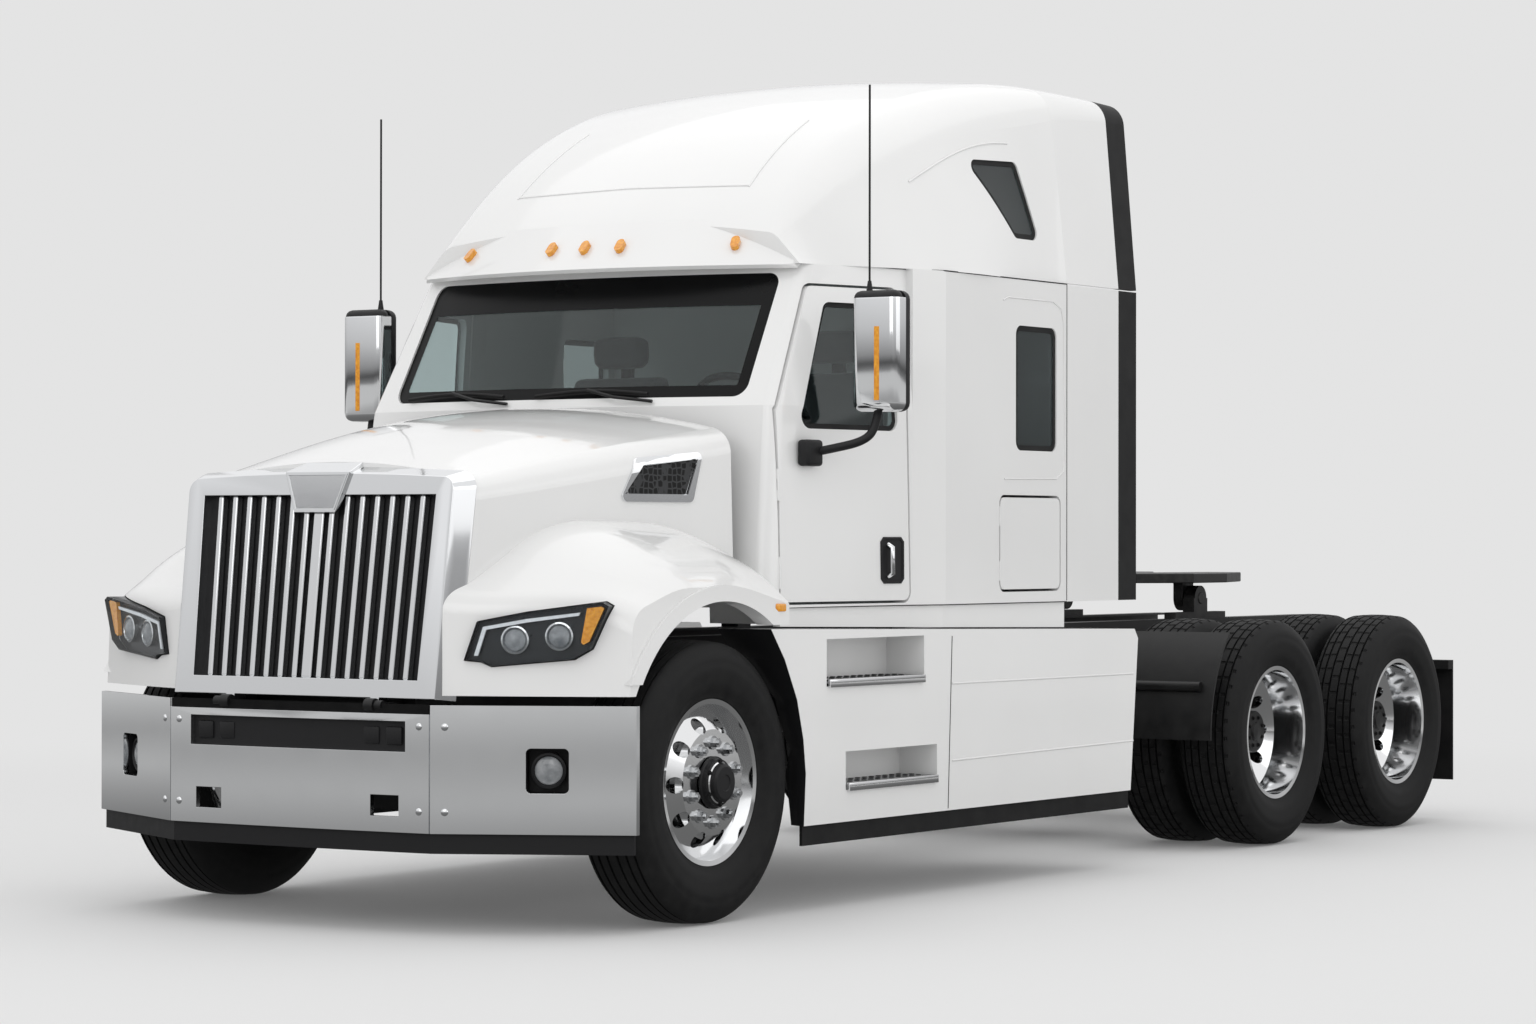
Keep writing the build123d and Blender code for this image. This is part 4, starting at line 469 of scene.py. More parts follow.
def soften(node, body, material, width, segments):
    """A copy of a CAD solid whose sharp edges are rounded, standing for the solid."""
    bm = cad_copy(node)
    bmesh.ops.dissolve_limit(bm, angle_limit=math.radians(1), verts=bm.verts, edges=bm.edges)
    piece = finish_piece(f"{node}_rounded", bm, material, body, (node,))
    bevel = piece.modifiers.new("soft_edges", "BEVEL")
    bevel.width = width
    bevel.segments = segments
    bevel.limit_method = "ANGLE"
    bevel.angle_limit = math.radians(28)
    bevel.harden_normals = True
    return piece


# %% [markdown]
# Tyres are turned from one cross-section with ribs on the tread and steps on the sidewall. The
# steered tyres keep plain ribs. On the drive tyres, cells of the ribs are pressed in at regular
# steps, which leaves the separate blocks of a traction tread.

# %% Tyres
axle_height = 0.508
front_wheel_x = 1.0485
outer_dual_x = 1.089
inner_dual_x = outer_dual_x - 0.33
drive_wheels = (("front_drive", 4.51), ("rear_drive", 5.831))
bead_to_shoulder = (
    (0.1, 0.2935), (0.116, 0.303), (0.122, 0.322), (0.131, 0.333), (0.1365, 0.36), (0.1405, 0.385),
    (0.1428, 0.4), (0.1428, 0.416), (0.1405, 0.424), (0.1405, 0.436), (0.1385, 0.449), (0.133, 0.463),
    (0.1265, 0.474), (0.121, 0.483), (0.114, 0.4935), (0.105, 0.5005),
)
rib_edges = (0.094, 0.06, 0.022)
groove_width = 0.009
groove_depth = 0.014


def tread_half():
    """The right half of the tread's cross-section, from the shoulder to the middle, with its grooves."""
    points = []
    for edge in rib_edges:
        crown = axle_height - 0.6 * edge * edge
        points += [(edge + groove_width / 2, crown), (edge + groove_width / 2 - 0.001, crown - groove_depth),
                   (edge - groove_width / 2 + 0.001, crown - groove_depth), (edge - groove_width / 2, crown)]
    return points


def add_tyre(bm, centre_x, y, steps, blocks):
    """One tyre about a wheel's axis. On a tyre with blocks only its own faces are pressed in."""
    half = list(bead_to_shoulder) + tread_half()
    profile = half + [(-x, r) for x, r in reversed(half)]
    profile += [(-0.1, 0.2935), (0.1, 0.2935)]
    there_before = set(bm.faces)
    add_spin(bm, profile, (centre_x, at(y), axle_height), steps)
    if not blocks:
        return
    step = math.tau / steps
    cells = []
    for face in bm.faces:
        if face in there_before:
            continue
        middle = face.calc_center_median()
        across = abs(middle.x - centre_x)
        radius = math.hypot(middle.y - at(y), middle.z - axle_height)
        turn = int((math.atan2(middle.z - axle_height, middle.y - at(y)) + math.pi) / step)
        late = 2 if 0.03 < across < 0.09 else 0
        if radius > 0.494 and across < 0.112 and (turn + late) % 4 == 0 and abs(face.normal.x) < 0.75:
            cells.append(face)
    bmesh.ops.recalc_face_normals(bm, faces=bm.faces)
    bmesh.ops.inset_individual(bm, faces=cells, thickness=0.0066, depth=-0.0045)


for side, name in side_names.items():
    bm = bmesh.new()
    add_tyre(bm, front_wheel_x, 0, 120, False)
    side_piece(side, "front_tread", bm, tyre_rubber, f"front_wheel_{name}",
               (f"front_tyre_{name}",), sharp=40)
    for wheel, y in drive_wheels:
        bm = bmesh.new()
        add_tyre(bm, outer_dual_x, y, 160, True)
        add_tyre(bm, inner_dual_x, y, 160, True)
        side_piece(side, f"{wheel}_tread", bm, tyre_rubber, f"{wheel}_wheel_{name}",
                   (f"{wheel}_tyres_{name}",), sharp=40)
print("tyres made")

# %% [markdown]
# Each wheel has ten flanged nuts round a hub cap. The steered wheels are convex, with a stubby
# black cap in front of the disc. On the drive wheels the disc lies deep, and the axle shaft's
# flange stands in its middle.

# %% Wheel nuts and hub caps
nut_ring = 0.1425
nut_radius = 0.0185
nut_height = 0.026
front_disc_face = front_wheel_x + 0.122
drive_disc_face = (outer_dual_x + inner_dual_x) / 2 + 0.165 - 0.122 + 0.022


def add_nuts(bm, face_x, y, count, ring, radius, height):
    """Flanged nuts on a ring, each with the end of its stud."""
    along_x = Matrix.Rotation(math.pi / 2, 4, "Y")
    for index in range(count):
        turn = math.tau * (index + 0.5) / count
        for cone_radius, length, sides in ((radius * 1.35, height * 0.25, 16), (radius, height, 6),
                                           (radius * 0.5, height * 1.3, 10)):
            place = (face_x + length / 2, at(y) + ring * math.cos(turn), axle_height + ring * math.sin(turn))
            add_cone(bm, place, cone_radius, cone_radius, length, sides, along_x)


front_cap = ((0.004, 0.094), (0.01, 0.094), (0.014, 0.088), (0.03, 0.084), (0.034, 0.072), (0.052, 0.067),
             (0.058, 0.058), (0.0585, 0.03), (0.056, 0.028), (0.056, 0.0))
drive_cap = ((0.0, 0.1), (0.006, 0.1), (0.01, 0.094), (0.078, 0.088), (0.084, 0.094), (0.104, 0.094),
             (0.11, 0.088), (0.111, 0.045), (0.119, 0.04), (0.122, 0.0))
# Each hub: its name, the disc's face, the cap's profile and finish, how far in front of the disc its
# own bolts stand, and their count, ring, radius and height.
front_hub = ("hub_cap", front_disc_face, front_cap, black_plastic, 0.033, (6, 0.078, 0.007, 0.006))
drive_hub = ("hub", drive_disc_face, drive_cap, black_paint, 0.11, (8, 0.066, 0.0085, 0.008))
for side, name in side_names.items():
    for wheel, y in (("front", 0), *drive_wheels):
        hub_name, face_x, cap, hub_finish, bolts_out, bolts = drive_hub if y else front_hub
        body = f"{wheel}_wheel_{name}"
        bm = bmesh.new()
        add_nuts(bm, face_x, y, 10, nut_ring, nut_radius, nut_height)
        side_piece(side, f"{wheel}_nuts", bm, nut_steel, body)
        bm = bmesh.new()
        add_spin(bm, cap, (face_x, at(y), axle_height), 48)
        add_nuts(bm, face_x + bolts_out, y, *bolts)
        side_piece(side, f"{wheel}_{hub_name}", bm, hub_finish, body)
print("wheel nuts and hub caps made")

# %% [markdown]
# The bright front trim is taken from the solids, with its edges rounded so that they catch light.

# %% Grille, surround and bumper
soften("grille", "hood_body", chrome, 0.0075, 3)
soften("bumper", "chassis", chrome, 0.006, 3)
surround_rounded = soften("grille_surround", "hood_body", chrome, 0.006, 3)
lug_front_y = at(-0.8735)
lug_low_z = 0.809
lug_high_z = 0.9
surround_rounded.data.materials.append(black_paint)
for face in surround_rounded.data.polygons:
    if face.center.z < lug_low_z or (face.center.y < lug_front_y and face.center.z < lug_high_z):
        face.material_index = 1
soften("steps", "chassis", tread_metal, 0.003, 2)

grille_lean = math.radians(7.1)


def on_grille(x, height, out):
    """A place on the leaning grille plane, out in front of it."""
    return Vector((x, at(-0.872) + height * math.sin(grille_lean) - out * math.cos(grille_lean),
                   0.82 + height * math.cos(grille_lean) + out * math.sin(grille_lean)))


def lay_flat(bm, outline, out, depth, inset, place, dish=-0.002):
    """A plate from an outline with an inset field, on the plane that place describes."""
    face = bm.faces.new([bm.verts.new(place(a, b, out)) for a, b in outline])
    top = extrude(bm, face, Vector(place(*outline[0], out + depth)) - Vector(place(*outline[0], out)))
    bmesh.ops.inset_region(bm, faces=top, thickness=inset, depth=0)
    bmesh.ops.inset_region(bm, faces=top, thickness=0.002, depth=dish)


bm = bmesh.new()
plate_outline = ((-0.09, 0.662), (0.09, 0.662), (0.138, 0.792), (-0.138, 0.792))
lay_flat(bm, plate_outline, 0.0122, 0.002, 0.007, on_grille)
finish_piece("blank_grille_plate", bm, chrome, "hood_body")

bumper_seam = (0.592, -0.897)
bumper_end = (1.233, -0.562)
end_run = Vector((bumper_end[0] - bumper_seam[0], bumper_end[1] - bumper_seam[1], 0)).normalized()
end_out = Vector((end_run.y, -end_run.x, 0))


def bumper_front_y(x):
    """The bumper's face at x: a shallow bow in the middle, straight ends swept back."""
    if abs(x) > bumper_seam[0]:
        return bumper_seam[1] + (abs(x) - bumper_seam[0]) * end_run.y / end_run.x
    sag = 0.915 + bumper_seam[1]
    radius = (bumper_seam[0] ** 2 + sag ** 2) / (2 * sag)
    return -0.915 + radius - math.sqrt(radius ** 2 - x ** 2)


def add_bolt(bm, place, out, radius, height):
    """A round-headed bolt that stands out from a face."""
    turn = Vector((0, 0, 1)).rotation_difference(out).to_matrix().to_4x4()
    seated = Matrix.Translation(place) @ turn @ Matrix.Diagonal((1, 1, height / radius, 1))
    bmesh.ops.create_uvsphere(bm, u_segments=16, v_segments=8, radius=radius, matrix=seated)


bm = bmesh.new()
seal_xs = (-0.585, *(x / 10 for x in range(-5, 6)), 0.585)
seal_front = [(x, at(bumper_front_y(x) + 0.006)) for x in seal_xs]
lower, upper = ([bm.verts.new((x, y, z)) for x, y in seal_front] for z in (0.764, 0.802))
for corners in zip(lower, lower[1:], upper[1:], upper):
    bm.faces.new(corners)
bmesh.ops.solidify(bm, geom=bm.faces[:], thickness=0.003)
finish_piece("bumper_top_seal", bm, edge_rubber)

bm = bmesh.new()
for x in (0.548, 0.64):
    for z in (0.43, 0.725):
        out = end_out if x > bumper_seam[0] else Vector((0, -1, 0))
        add_bolt(bm, Vector((x, at(bumper_front_y(x)), z)), out, 0.013, 0.006)
twin_piece("bumper_bolts", bm, chrome)

# %% Bumper openings
bm = bmesh.new()
for x in (0.43, 0.33):
    add_box(bm, (x - 0.036, at(-0.893), 0.658), (x + 0.036, at(-0.86), 0.722), 0.008)
twin_piece("bumper_slot_grille", bm, black_plastic)
# Painted shade: a near-black sheet set back in the bumper's middle slot, for the dark opening behind it.
bm = bmesh.new()
add_box(bm, (-0.285, at(-0.876), 0.66), (0.285, at(-0.873), 0.722), 0.001, 1)
finish_piece("bumper_slot_painted_shade", bm, black_print_and_painted_shade)

fog_middle = (0.958, bumper_front_y(0.958), 0.575)


def on_fog(a, b, out):
    """A place on the bumper's swept end: a along it, b up, out in front."""
    middle = Vector((fog_middle[0], at(fog_middle[1]), fog_middle[2] + b))
    return middle + end_run * a + end_out * out


def add_round(bm, place, a, b, rings, steps=32):
    """A turned shape that faces out of a swept plane, from radius, out points."""
    out = (Vector(place(a, b, 1)) - Vector(place(a, b, 0))).normalized()
    places = [Vector(place(a, b, distance)) + Vector((0, 0, radius)) for radius, distance in rings]
    spin_line(bm, places, place(a, b, 0), out, steps)


bm = bmesh.new()
add_round(bm, on_fog, 0, 0, ((0.0, -0.052), (0.062, -0.052), (0.062, -0.03), (0.055, -0.027), (0.05, -0.034)))
twin_piece("fog_lamp_bezels", bm, black_plastic)
bm = bmesh.new()
add_round(bm, on_fog, 0, 0, ((0.049, -0.035), (0.04, -0.029), (0.022, -0.025), (0.0, -0.024)))
twin_piece("fog_lamp_lenses", bm, lens_clear)
print("front trim made")

# %% [markdown]
# Each headlight is a dark housing behind a clear cover. In it sit two projectors, an amber turn
# signal at its outer end, and a thin white strip that follows the top and inner edges.

# %% Headlights
lamp_sweep = math.radians(22.8)


def on_lamp(s, z, out):
    """A place on the headlight's swept plane: s along it from the truck's middle, z its height."""
    return Vector((0.62 + s * math.cos(lamp_sweep) + out * math.sin(lamp_sweep),
                   at(-0.848) + s * math.sin(lamp_sweep) - out * math.cos(lamp_sweep), z))


lamp_outline = (
    (0.07, 0.957), (0.115, 1.088), (0.291, 1.122), (0.561, 1.158), (0.585, 1.145), (0.52, 0.998),
    (0.458, 0.962), (0.165, 0.936), (0.128, 0.952),
)


def shrink(outline, amount):
    """An outline moved inwards by an amount, by an inset on a flat face."""
    flat = bmesh.new()
    face = flat.faces.new([flat.verts.new((a, b, 0)) for a, b in outline])
    bmesh.ops.inset_region(flat, faces=[face], thickness=amount, use_boundary=True, use_even_offset=True)
    points = [(vert.co.x, vert.co.y) for vert in face.verts]
    flat.free()
    return points


bm = bmesh.new()
add_prism(bm, lamp_outline, -0.07, lambda s, z, out: on_lamp(s, z, out - 0.03))
loops = []
for outline, out in ((lamp_outline, -0.029), (lamp_outline, 0.004), (shrink(lamp_outline, 0.012), 0.002),
                     (shrink(lamp_outline, 0.02), -0.029)):
    ring = [bm.verts.new(on_lamp(s, z, out)) for s, z in outline]
    loops.append([bm.edges.new((a, b)) for a, b in zip(ring, ring[1:] + ring[:1])])
for one, other in zip(loops, loops[1:]):
    bmesh.ops.bridge_loops(bm, edges=one + other)
twin_piece("headlight_housings", bm, lamp_black, "hood_body", ("headlights",))

bm = bmesh.new()
lens_verts = [bm.verts.new(on_lamp(s, z, 0.003)) for s, z in shrink(lamp_outline, 0.01)]
extrude(bm, bm.faces.new(lens_verts), on_lamp(0, 0, 0.002) - on_lamp(0, 0, 0))
twin_piece("headlight_covers", bm, cover_glass, "hood_body")

bm = bmesh.new()
projectors = ((0.248, 1.027), (0.405, 1.04))
for s, z in projectors:
    add_round(bm, on_lamp, s, z, ((0.05, -0.028), (0.05, -0.012), (0.044, -0.01), (0.04, -0.02)), 28)
twin_piece("projector_bezels", bm, chrome, "hood_body", sharp=20, slot="lamp_lens")
bm = bmesh.new()
for s, z in projectors:
    dome = ((0.041, -0.022), (0.036, -0.012), (0.024, -0.005), (0.01, -0.001), (0.0, 0.0))
    add_round(bm, on_lamp, s, z, dome, 24)
twin_piece("projector_lenses", bm, lens_clear, "hood_body")

bm = bmesh.new()
strip = ((0.104, 0.972), (0.118, 0.972), (0.147, 1.062), (0.293, 1.088), (0.476, 1.112),
         (0.481, 1.123), (0.29, 1.1), (0.136, 1.072))
add_prism(bm, strip, 0.012, lambda s, z, out: on_lamp(s, z, out - 0.016))
twin_piece("daylight_strips", bm, strip_white, "hood_body")
bm = bmesh.new()
turn_signal = ((0.492, 1.012), (0.513, 1.022), (0.566, 1.138), (0.556, 1.144), (0.505, 1.138), (0.484, 1.02))
add_prism(bm, turn_signal, 0.016, lambda s, z, out: on_lamp(s, z, out - 0.022))
twin_piece("turn_signals", bm, amber_lens, "hood_body")
print("headlights made")

# %% Marker lamps and vent screens
bm = bmesh.new()
add_box(bm, (1.196, at(0.36), 1.112), (1.212, at(0.425), 1.142), 0.006)
twin_piece("side_markers", bm, amber_lens, "hood_body")

screen_corners = ((-0.011, 1.541), (0.301, 1.541), (0.359, 1.671), (0.087, 1.643))
screen_lift = 0.002
bm = bmesh.new()
bmesh.ops.create_grid(bm, x_segments=8, y_segments=4, size=1)
for vert in bm.verts:
    across, along = (vert.co.x + 1) / 2, (vert.co.y + 1) / 2
    one, two, three, four = (Vector(corner) for corner in screen_corners)
    y, z = one.lerp(two, across).lerp(four.lerp(three, across), along)
    hit, place, _, _ = frame["nodes"]["hood_vents"].ray_cast(Vector((1.4, at(y), z)), Vector((-1, 0, 0)))
    vert.co = (place.x + screen_lift, at(y), z) if hit else (vert.co.x, at(y), z)
twin_piece("vent_screens", bm, honeycomb, "hood_body")

# %% [markdown]
# The windshield has a black printed border, and along its top a band of painted shade where the cab's
# header and visors darken the inside. Both are cut from a copy of the pane's own outer faces, so they
# follow its curve. The side windows get black seals the same way.

# %% Window borders and seals
windshield_border_width = 0.05
shade_band_low_z = 2.27


def skin_of(node, keep, lift):
    """The faces of a CAD solid that keep() picks, lifted a little along their normals."""
    bm = cad_copy(node)
    bmesh.ops.recalc_face_normals(bm, faces=bm.faces)
    chosen = {face for face in bm.faces if keep(face.calc_center_median(), face.normal)}
    bmesh.ops.delete(bm, geom=[face for face in bm.faces if face not in chosen], context="FACES")
    bmesh.ops.dissolve_limit(bm, angle_limit=math.radians(0.5), verts=bm.verts, edges=bm.edges)
    bm.normal_update()
    for vert in bm.verts:
        vert.co += vert.normal * lift
    return bm


def border_of(bm, width):
    """Only the outermost strip of a skin."""
    inner = bm.faces[:]
    bmesh.ops.inset_region(bm, faces=inner, thickness=width, use_boundary=True, use_even_offset=True)
    bmesh.ops.delete(bm, geom=inner, context="FACES")
    return bm


def windshield_face(middle, normal):
    return normal.y < -0.3 and abs(middle.x) < 0.9 and middle.z > 1.85 and middle.y < at(1.05)


bm = border_of(skin_of("cab_glass", windshield_face, 0.0015), windshield_border_width)
finish_piece("windshield_border", bm, black_print_and_painted_shade)
# The top band is painted shade: a near-black sheet on the glass where the cab's header and visors darken the
# inside.
bm = skin_of("cab_glass", windshield_face, 0.001)
cut(bm, (0, 0, shade_band_low_z), (0, 0, 1), clear_inner=True)
finish_piece("windshield_shade_band", bm, black_print_and_painted_shade)


def sleeper_window_face(middle, normal):
    return abs(normal.x) > 0.7 and middle.y > at(2.0) and normal.x * middle.x > 0


def door_window_face(middle, normal):
    return normal.x * middle.x > 0.3


finish_piece("sleeper_window_tint", skin_of("cab_glass", sleeper_window_face, 0.0012), smoked_film)
bm = border_of(skin_of("cab_glass", sleeper_window_face, 0.004), 0.022)
finish_piece("sleeper_window_seals", bm, edge_rubber)
for name in side_names.values():
    bm = border_of(skin_of(f"door_glass_{name}", door_window_face, 0.003), 0.02)
    finish_piece(f"door_window_seal_{name}", bm, edge_rubber, f"door_{name}_body")
print("window borders made")

# %% Wipers
belt_z = 1.88
window_height = 0.55


def windshield_y(x, z):
    """The windshield's face at x, z, between the cab's belt and its top."""
    share = (z - belt_z) / window_height
    half = 0.965 - 0.06 * share
    sag = 0.122 + 0.003 * share
    radius = (half ** 2 + sag ** 2) / (2 * sag)
    return 0.6 + 0.305 * share + radius - math.sqrt(radius ** 2 - x ** 2)


def on_windshield(x, z, out):
    return Vector((x, at(windshield_y(x, z)) - out, z))


for name, base, tip in (("right", -0.2, -0.755), ("left", 0.47, -0.08)):
    blade_middle = (base + tip) / 2 - 0.02
    arm = [on_windshield(base, 1.9, 0.012), on_windshield(base * 0.7 + tip * 0.3, 1.918, 0.03),
           on_windshield(blade_middle, 1.948, 0.024)]
    tube(f"wiper_arm_{name}", arm, 0.0065, black_paint)
    blade = [on_windshield(tip + (base - tip) * share, 1.925 + 0.02 * math.sin(math.pi * share), 0.012)
             for share in (0.02, 0.25, 0.5, 0.75, 0.95)]
    tube(f"wiper_blade_{name}", blade, 0.0075, edge_rubber, spline="NURBS")

# %% [markdown]
# The mirrors stand on bent black arms from the doors. Each has a bright front shell, a black case
# behind it with two panes of mirror glass, and a thin turn signal strip along its outer edge. A whip
# aerial stands on top.

# %% Mirrors
inner_x, outer_x = 1.133, 1.335
front_y, rear_y = at(0.985), at(1.115)
low_z, high_z = 1.858, 2.317
split_y = at(1.06)
mirror_cap_low_z = 2.289
aerial_x, aerial_y = 1.18, 1.05
shell_lap = 0.0012
for side, name in side_names.items():
    body = f"door_{name}_body"
    front, rear = bmesh.new(), bmesh.new()
    for bm, clear_outer in ((front, True), (rear, False)):
        add_box(bm, (inner_x, front_y, low_z), (outer_x, rear_y, high_z), 0.034, 4)
        cut(bm, (0, split_y, 0), (0, 1, 0), clear_outer=clear_outer, clear_inner=not clear_outer)
    bmesh.ops.translate(front, verts=front.verts, vec=(0, shell_lap, 0))
    cap = bmesh.new()
    add_box(cap, (inner_x - 0.001, front_y + 0.008, 2.262), (outer_x - 0.001, split_y, high_z + 0.0005),
            0.03, 4)
    cut(cap, (0, 0, mirror_cap_low_z), (0, 0, 1), clear_inner=True)
    cut(front, (0, 0, mirror_cap_low_z), (0, 0, 1), clear_outer=True)
    side_piece(side, "mirror_shell", front, chrome, body, (f"mirror_{name}",))
    side_piece(side, "mirror_cap", cap, black_plastic, body)
    lip = [edge for edge in rear.edges if len(edge.link_faces) == 1]
    bmesh.ops.holes_fill(rear, edges=lip, sides=0)
    side_piece(side, "mirror_case", rear, black_plastic, body)
    bm = bmesh.new()
    for pane_low, pane_high in ((1.885, 2.02), (2.032, 2.29)):
        add_box(bm, (inner_x + 0.018, rear_y - 0.001, pane_low), (outer_x - 0.018, rear_y + 0.001, pane_high),
                0.0008, 1)
    side_piece(side, "mirror_panes", bm, mirror_glass, body)
    bm = bmesh.new()
    add_box(bm, (1.238, front_y + 0.0001, 1.9), (1.262, front_y + 0.02, 2.18), 0.0015, 1)
    side_piece(side, "mirror_signal", bm, amber_lens, body)
    bm = bmesh.new()
    add_box(bm, (1.0, at(0.82), 1.652), (1.052, at(0.93), 1.752), 0.014, 3)
    side_piece(side, "mirror_foot", bm, black_plastic, body)
    arm = [(1.02, at(0.908), 1.705), (1.1, at(0.93), 1.72), (1.19, at(0.985), 1.745),
           (1.218, at(1.03), 1.79), (1.222, at(1.05), 1.87)]
    side_tube(side, "mirror_arm", arm, 0.0165, black_plastic, body, sides=5, spline="NURBS")
    whip = [(aerial_x, at(aerial_y), z) for z in (2.35, 3.1)]
    side_tube(side, "aerial", whip, 0.0042, black_plastic, body)
    bm = bmesh.new()
    add_cone(bm, (aerial_x, at(aerial_y), 2.3335), 0.0135, 0.007, 0.045, 24)
    side_piece(side, "aerial_foot", bm, black_plastic, body)
print("mirrors made")


# %% Door handles and side seams
def cab_side_x(y, z):
    """The cab's outer side at y, z, with y behind the front axle."""
    if z < belt_z:
        share = (z - 1.12) / (belt_z - 1.12)
        corner = (1.005 - 0.04 * share, 0.606 + 0.116 * share, 1.1)
    else:
        share = (z - belt_z) / window_height
        corner = (0.965 - 0.06 * share, 0.722 + 0.308 * share, 1.1 - 0.034 * share)
    return corner[0] + (corner[2] - corner[0]) * (y - corner[1]) / (1.5 - corner[1])


def on_cab_side(y, z, out):
    return Vector((cab_side_x(y, z) + out, at(y), z))


for side, name in side_names.items():
    body = f"door_{name}_body"
    bm = bmesh.new()
    outline = ((1.318, 1.205), (1.424, 1.205), (1.442, 1.223), (1.442, 1.367), (1.424, 1.385), (1.318, 1.385),
               (1.3, 1.367), (1.3, 1.223))
    lay_flat(bm, outline, 0.0005, 0.004, 0.01, on_cab_side, -0.0035)
    side_piece(side, "handle_pocket", bm, black_plastic, body)
    bar = [on_cab_side(1.345, z, out)
           for z, out in ((1.235, 0.002), (1.247, 0.022), (1.343, 0.022), (1.355, 0.002))]
    side_tube(side, "handle_bar", bar, 0.011, chrome, body, sides=4)


def arch_face(middle, normal):
    """The skirt's faces that look into the wheel's space."""
    return middle.y < at(0.8) and (abs(normal.x) < 0.9 or abs(middle.x) < 1.21) and normal.y < -0.05


finish_piece("arch_liners", skin_of("skirts", arch_face, 0.0015), black_plastic)

sleeper_side_x = 1.15
sleeper_front_y, sleeper_rear_y = 1.67, 2.65
roof_seam_z, sill_seam_z = 2.43, 1.1195
recess_edge = ((2.12, 2.338), (2.16, 2.352), (2.53, 2.352), (2.6, 2.325), (2.62, 2.27), (2.635, 1.72),
               (2.62, 1.655), (2.56, 1.625), (2.13, 1.62))
# Each seam: its name, its places as x, y behind the front axle and z, its radius and its finish.
sleeper_front = (sleeper_side_x, sleeper_front_y)
sleeper_rear = (sleeper_side_x, sleeper_rear_y)
seams = (
    ("roof_seam", ((0.905, 1.06, roof_seam_z), (1.066, 1.5, roof_seam_z), (*sleeper_front, roof_seam_z),
                   (*sleeper_rear, roof_seam_z)), 0.0028, edge_rubber),
    ("rear_seam", ((*sleeper_rear, 1.125), (*sleeper_rear, roof_seam_z)), 0.0022, edge_rubber),
    ("sill_seam", ((1.013, 0.7, sill_seam_z), (1.1, 1.5, sill_seam_z), (*sleeper_front, sill_seam_z),
                   (*sleeper_rear, sill_seam_z)), 0.0022, edge_rubber),
    ("skirt_seam", ((1.2203, 1.6, 1.0), (1.2203, 1.57, 0.33)), 0.002, edge_rubber),
    ("skirt_crease_upper", ((1.219, 1.6, 0.815), (1.219, 3.1, 0.812)), 0.005, white_paint),
    ("skirt_crease_lower", ((1.219, 1.6, 0.515), (1.219, 3.1, 0.53)), 0.005, white_paint),
    ("panel_step", [(sleeper_side_x + 0.0005, y, z) for y, z in recess_edge], 0.0035, white_paint),
)
for name, places, radius, material in seams:
    for side in side_names:
        side_tube(side, name, [(x, at(y), z) for x, y, z in places], radius, material, sides=1)


def on_roof(start, direction):
    """Where a line from a place first meets the roof."""
    hit, place, normal, _ = frame["nodes"]["roof_fairing"].ray_cast(Vector(start), Vector(direction))
    return place + normal * 0.0005 if hit else None


def crease(name, start_at, direction, radius):
    """A low raised line that follows the roof's surface, with its twin on the other side. Its places
    are found by looking along a direction from eleven starts."""
    starts = [start_at(step) for step in range(11)]
    for side, side_name in side_names.items():
        found = [on_roof((side * x, at(y), z), (side * direction[0], direction[1], 0)) for x, y, z in starts]
        places = [place for place in found if place is not None]
        if len(places) > 2:
            tube(f"{name}_{side_name}", places, radius, white_paint, sides=2, spline="NURBS")


crease("roof_panel_side", lambda step: (0.56 - 0.002 * step, 0.3, 2.75 + 0.03 * step), (0, 1), 0.004)
crease("roof_panel_foot", lambda step: (0.56 - 0.056 * step, 0.3, 2.755 + 0.0012 * step), (0, 1), 0.004)
crease("roof_side_arc",
       lambda step: (1.6, 1.66 + 0.068 * step, 2.786 + 0.205 * math.sin(math.pi * step / 20)), (-1, 0), 0.005)
print("handles, seams and creases made")

# %% [markdown]
# Seats and the bunk's mattress are padded pieces. Each starts as a rounded block a little smaller than
# its place, is swollen by a short cloth simulation, and is smoothed once.

# %% Cushions
swell = 0.012


def cushion(name, low, high, replaced=()):
    """A padded block that the cloth simulation has swollen, riding on the chassis."""
    scene = bpy.context.scene
    bm = bmesh.new()
    add_box(bm, low, high, 0.03, 3)
    mesh = bpy.data.meshes.new(name)
    bm.to_mesh(mesh)
    bm.free()
    pad = bpy.data.objects.new(name, mesh)
    scene.collection.objects.link(pad)
    pad.select_set(True)
    bpy.context.view_layer.objects.active = pad
    remesh = pad.modifiers.new("even_mesh", "REMESH")
    remesh.mode = "VOXEL"
    remesh.voxel_size = 0.022
    bpy.ops.object.modifier_apply(modifier=remesh.name)
    rest = [vert.co.copy() for vert in pad.data.vertices]
    cloth = pad.modifiers.new("padding", "CLOTH")
    cloth.settings.use_pressure = True
    cloth.settings.uniform_pressure_force = 4
    cloth.settings.effector_weights.gravity = 0
    for step in range(1, 13):
        scene.frame_set(step)
    swollen = pad.evaluated_get(bpy.context.evaluated_depsgraph_get()).to_mesh()
    moved = [vert.co.copy() for vert in swollen.vertices]
    pad.modifiers.remove(cloth)
    for vert, start, end in zip(pad.data.vertices, rest, moved):
        shift = end - start
        vert.co = start + shift * min(1.0, swell / max(shift.length, 1e-6))
    scene.frame_set(1)
    smooth = pad.modifiers.new("smooth", "SUBSURF")
    smooth.levels = 1
    smooth.render_levels = 1
    pad.data.shade_smooth()
    pad.data.materials.append(fabric)
    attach(pad, "chassis")
    if replaced:
        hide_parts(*replaced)
    pad.select_set(False)


seat_x = 0.52
seat_y = 1.64
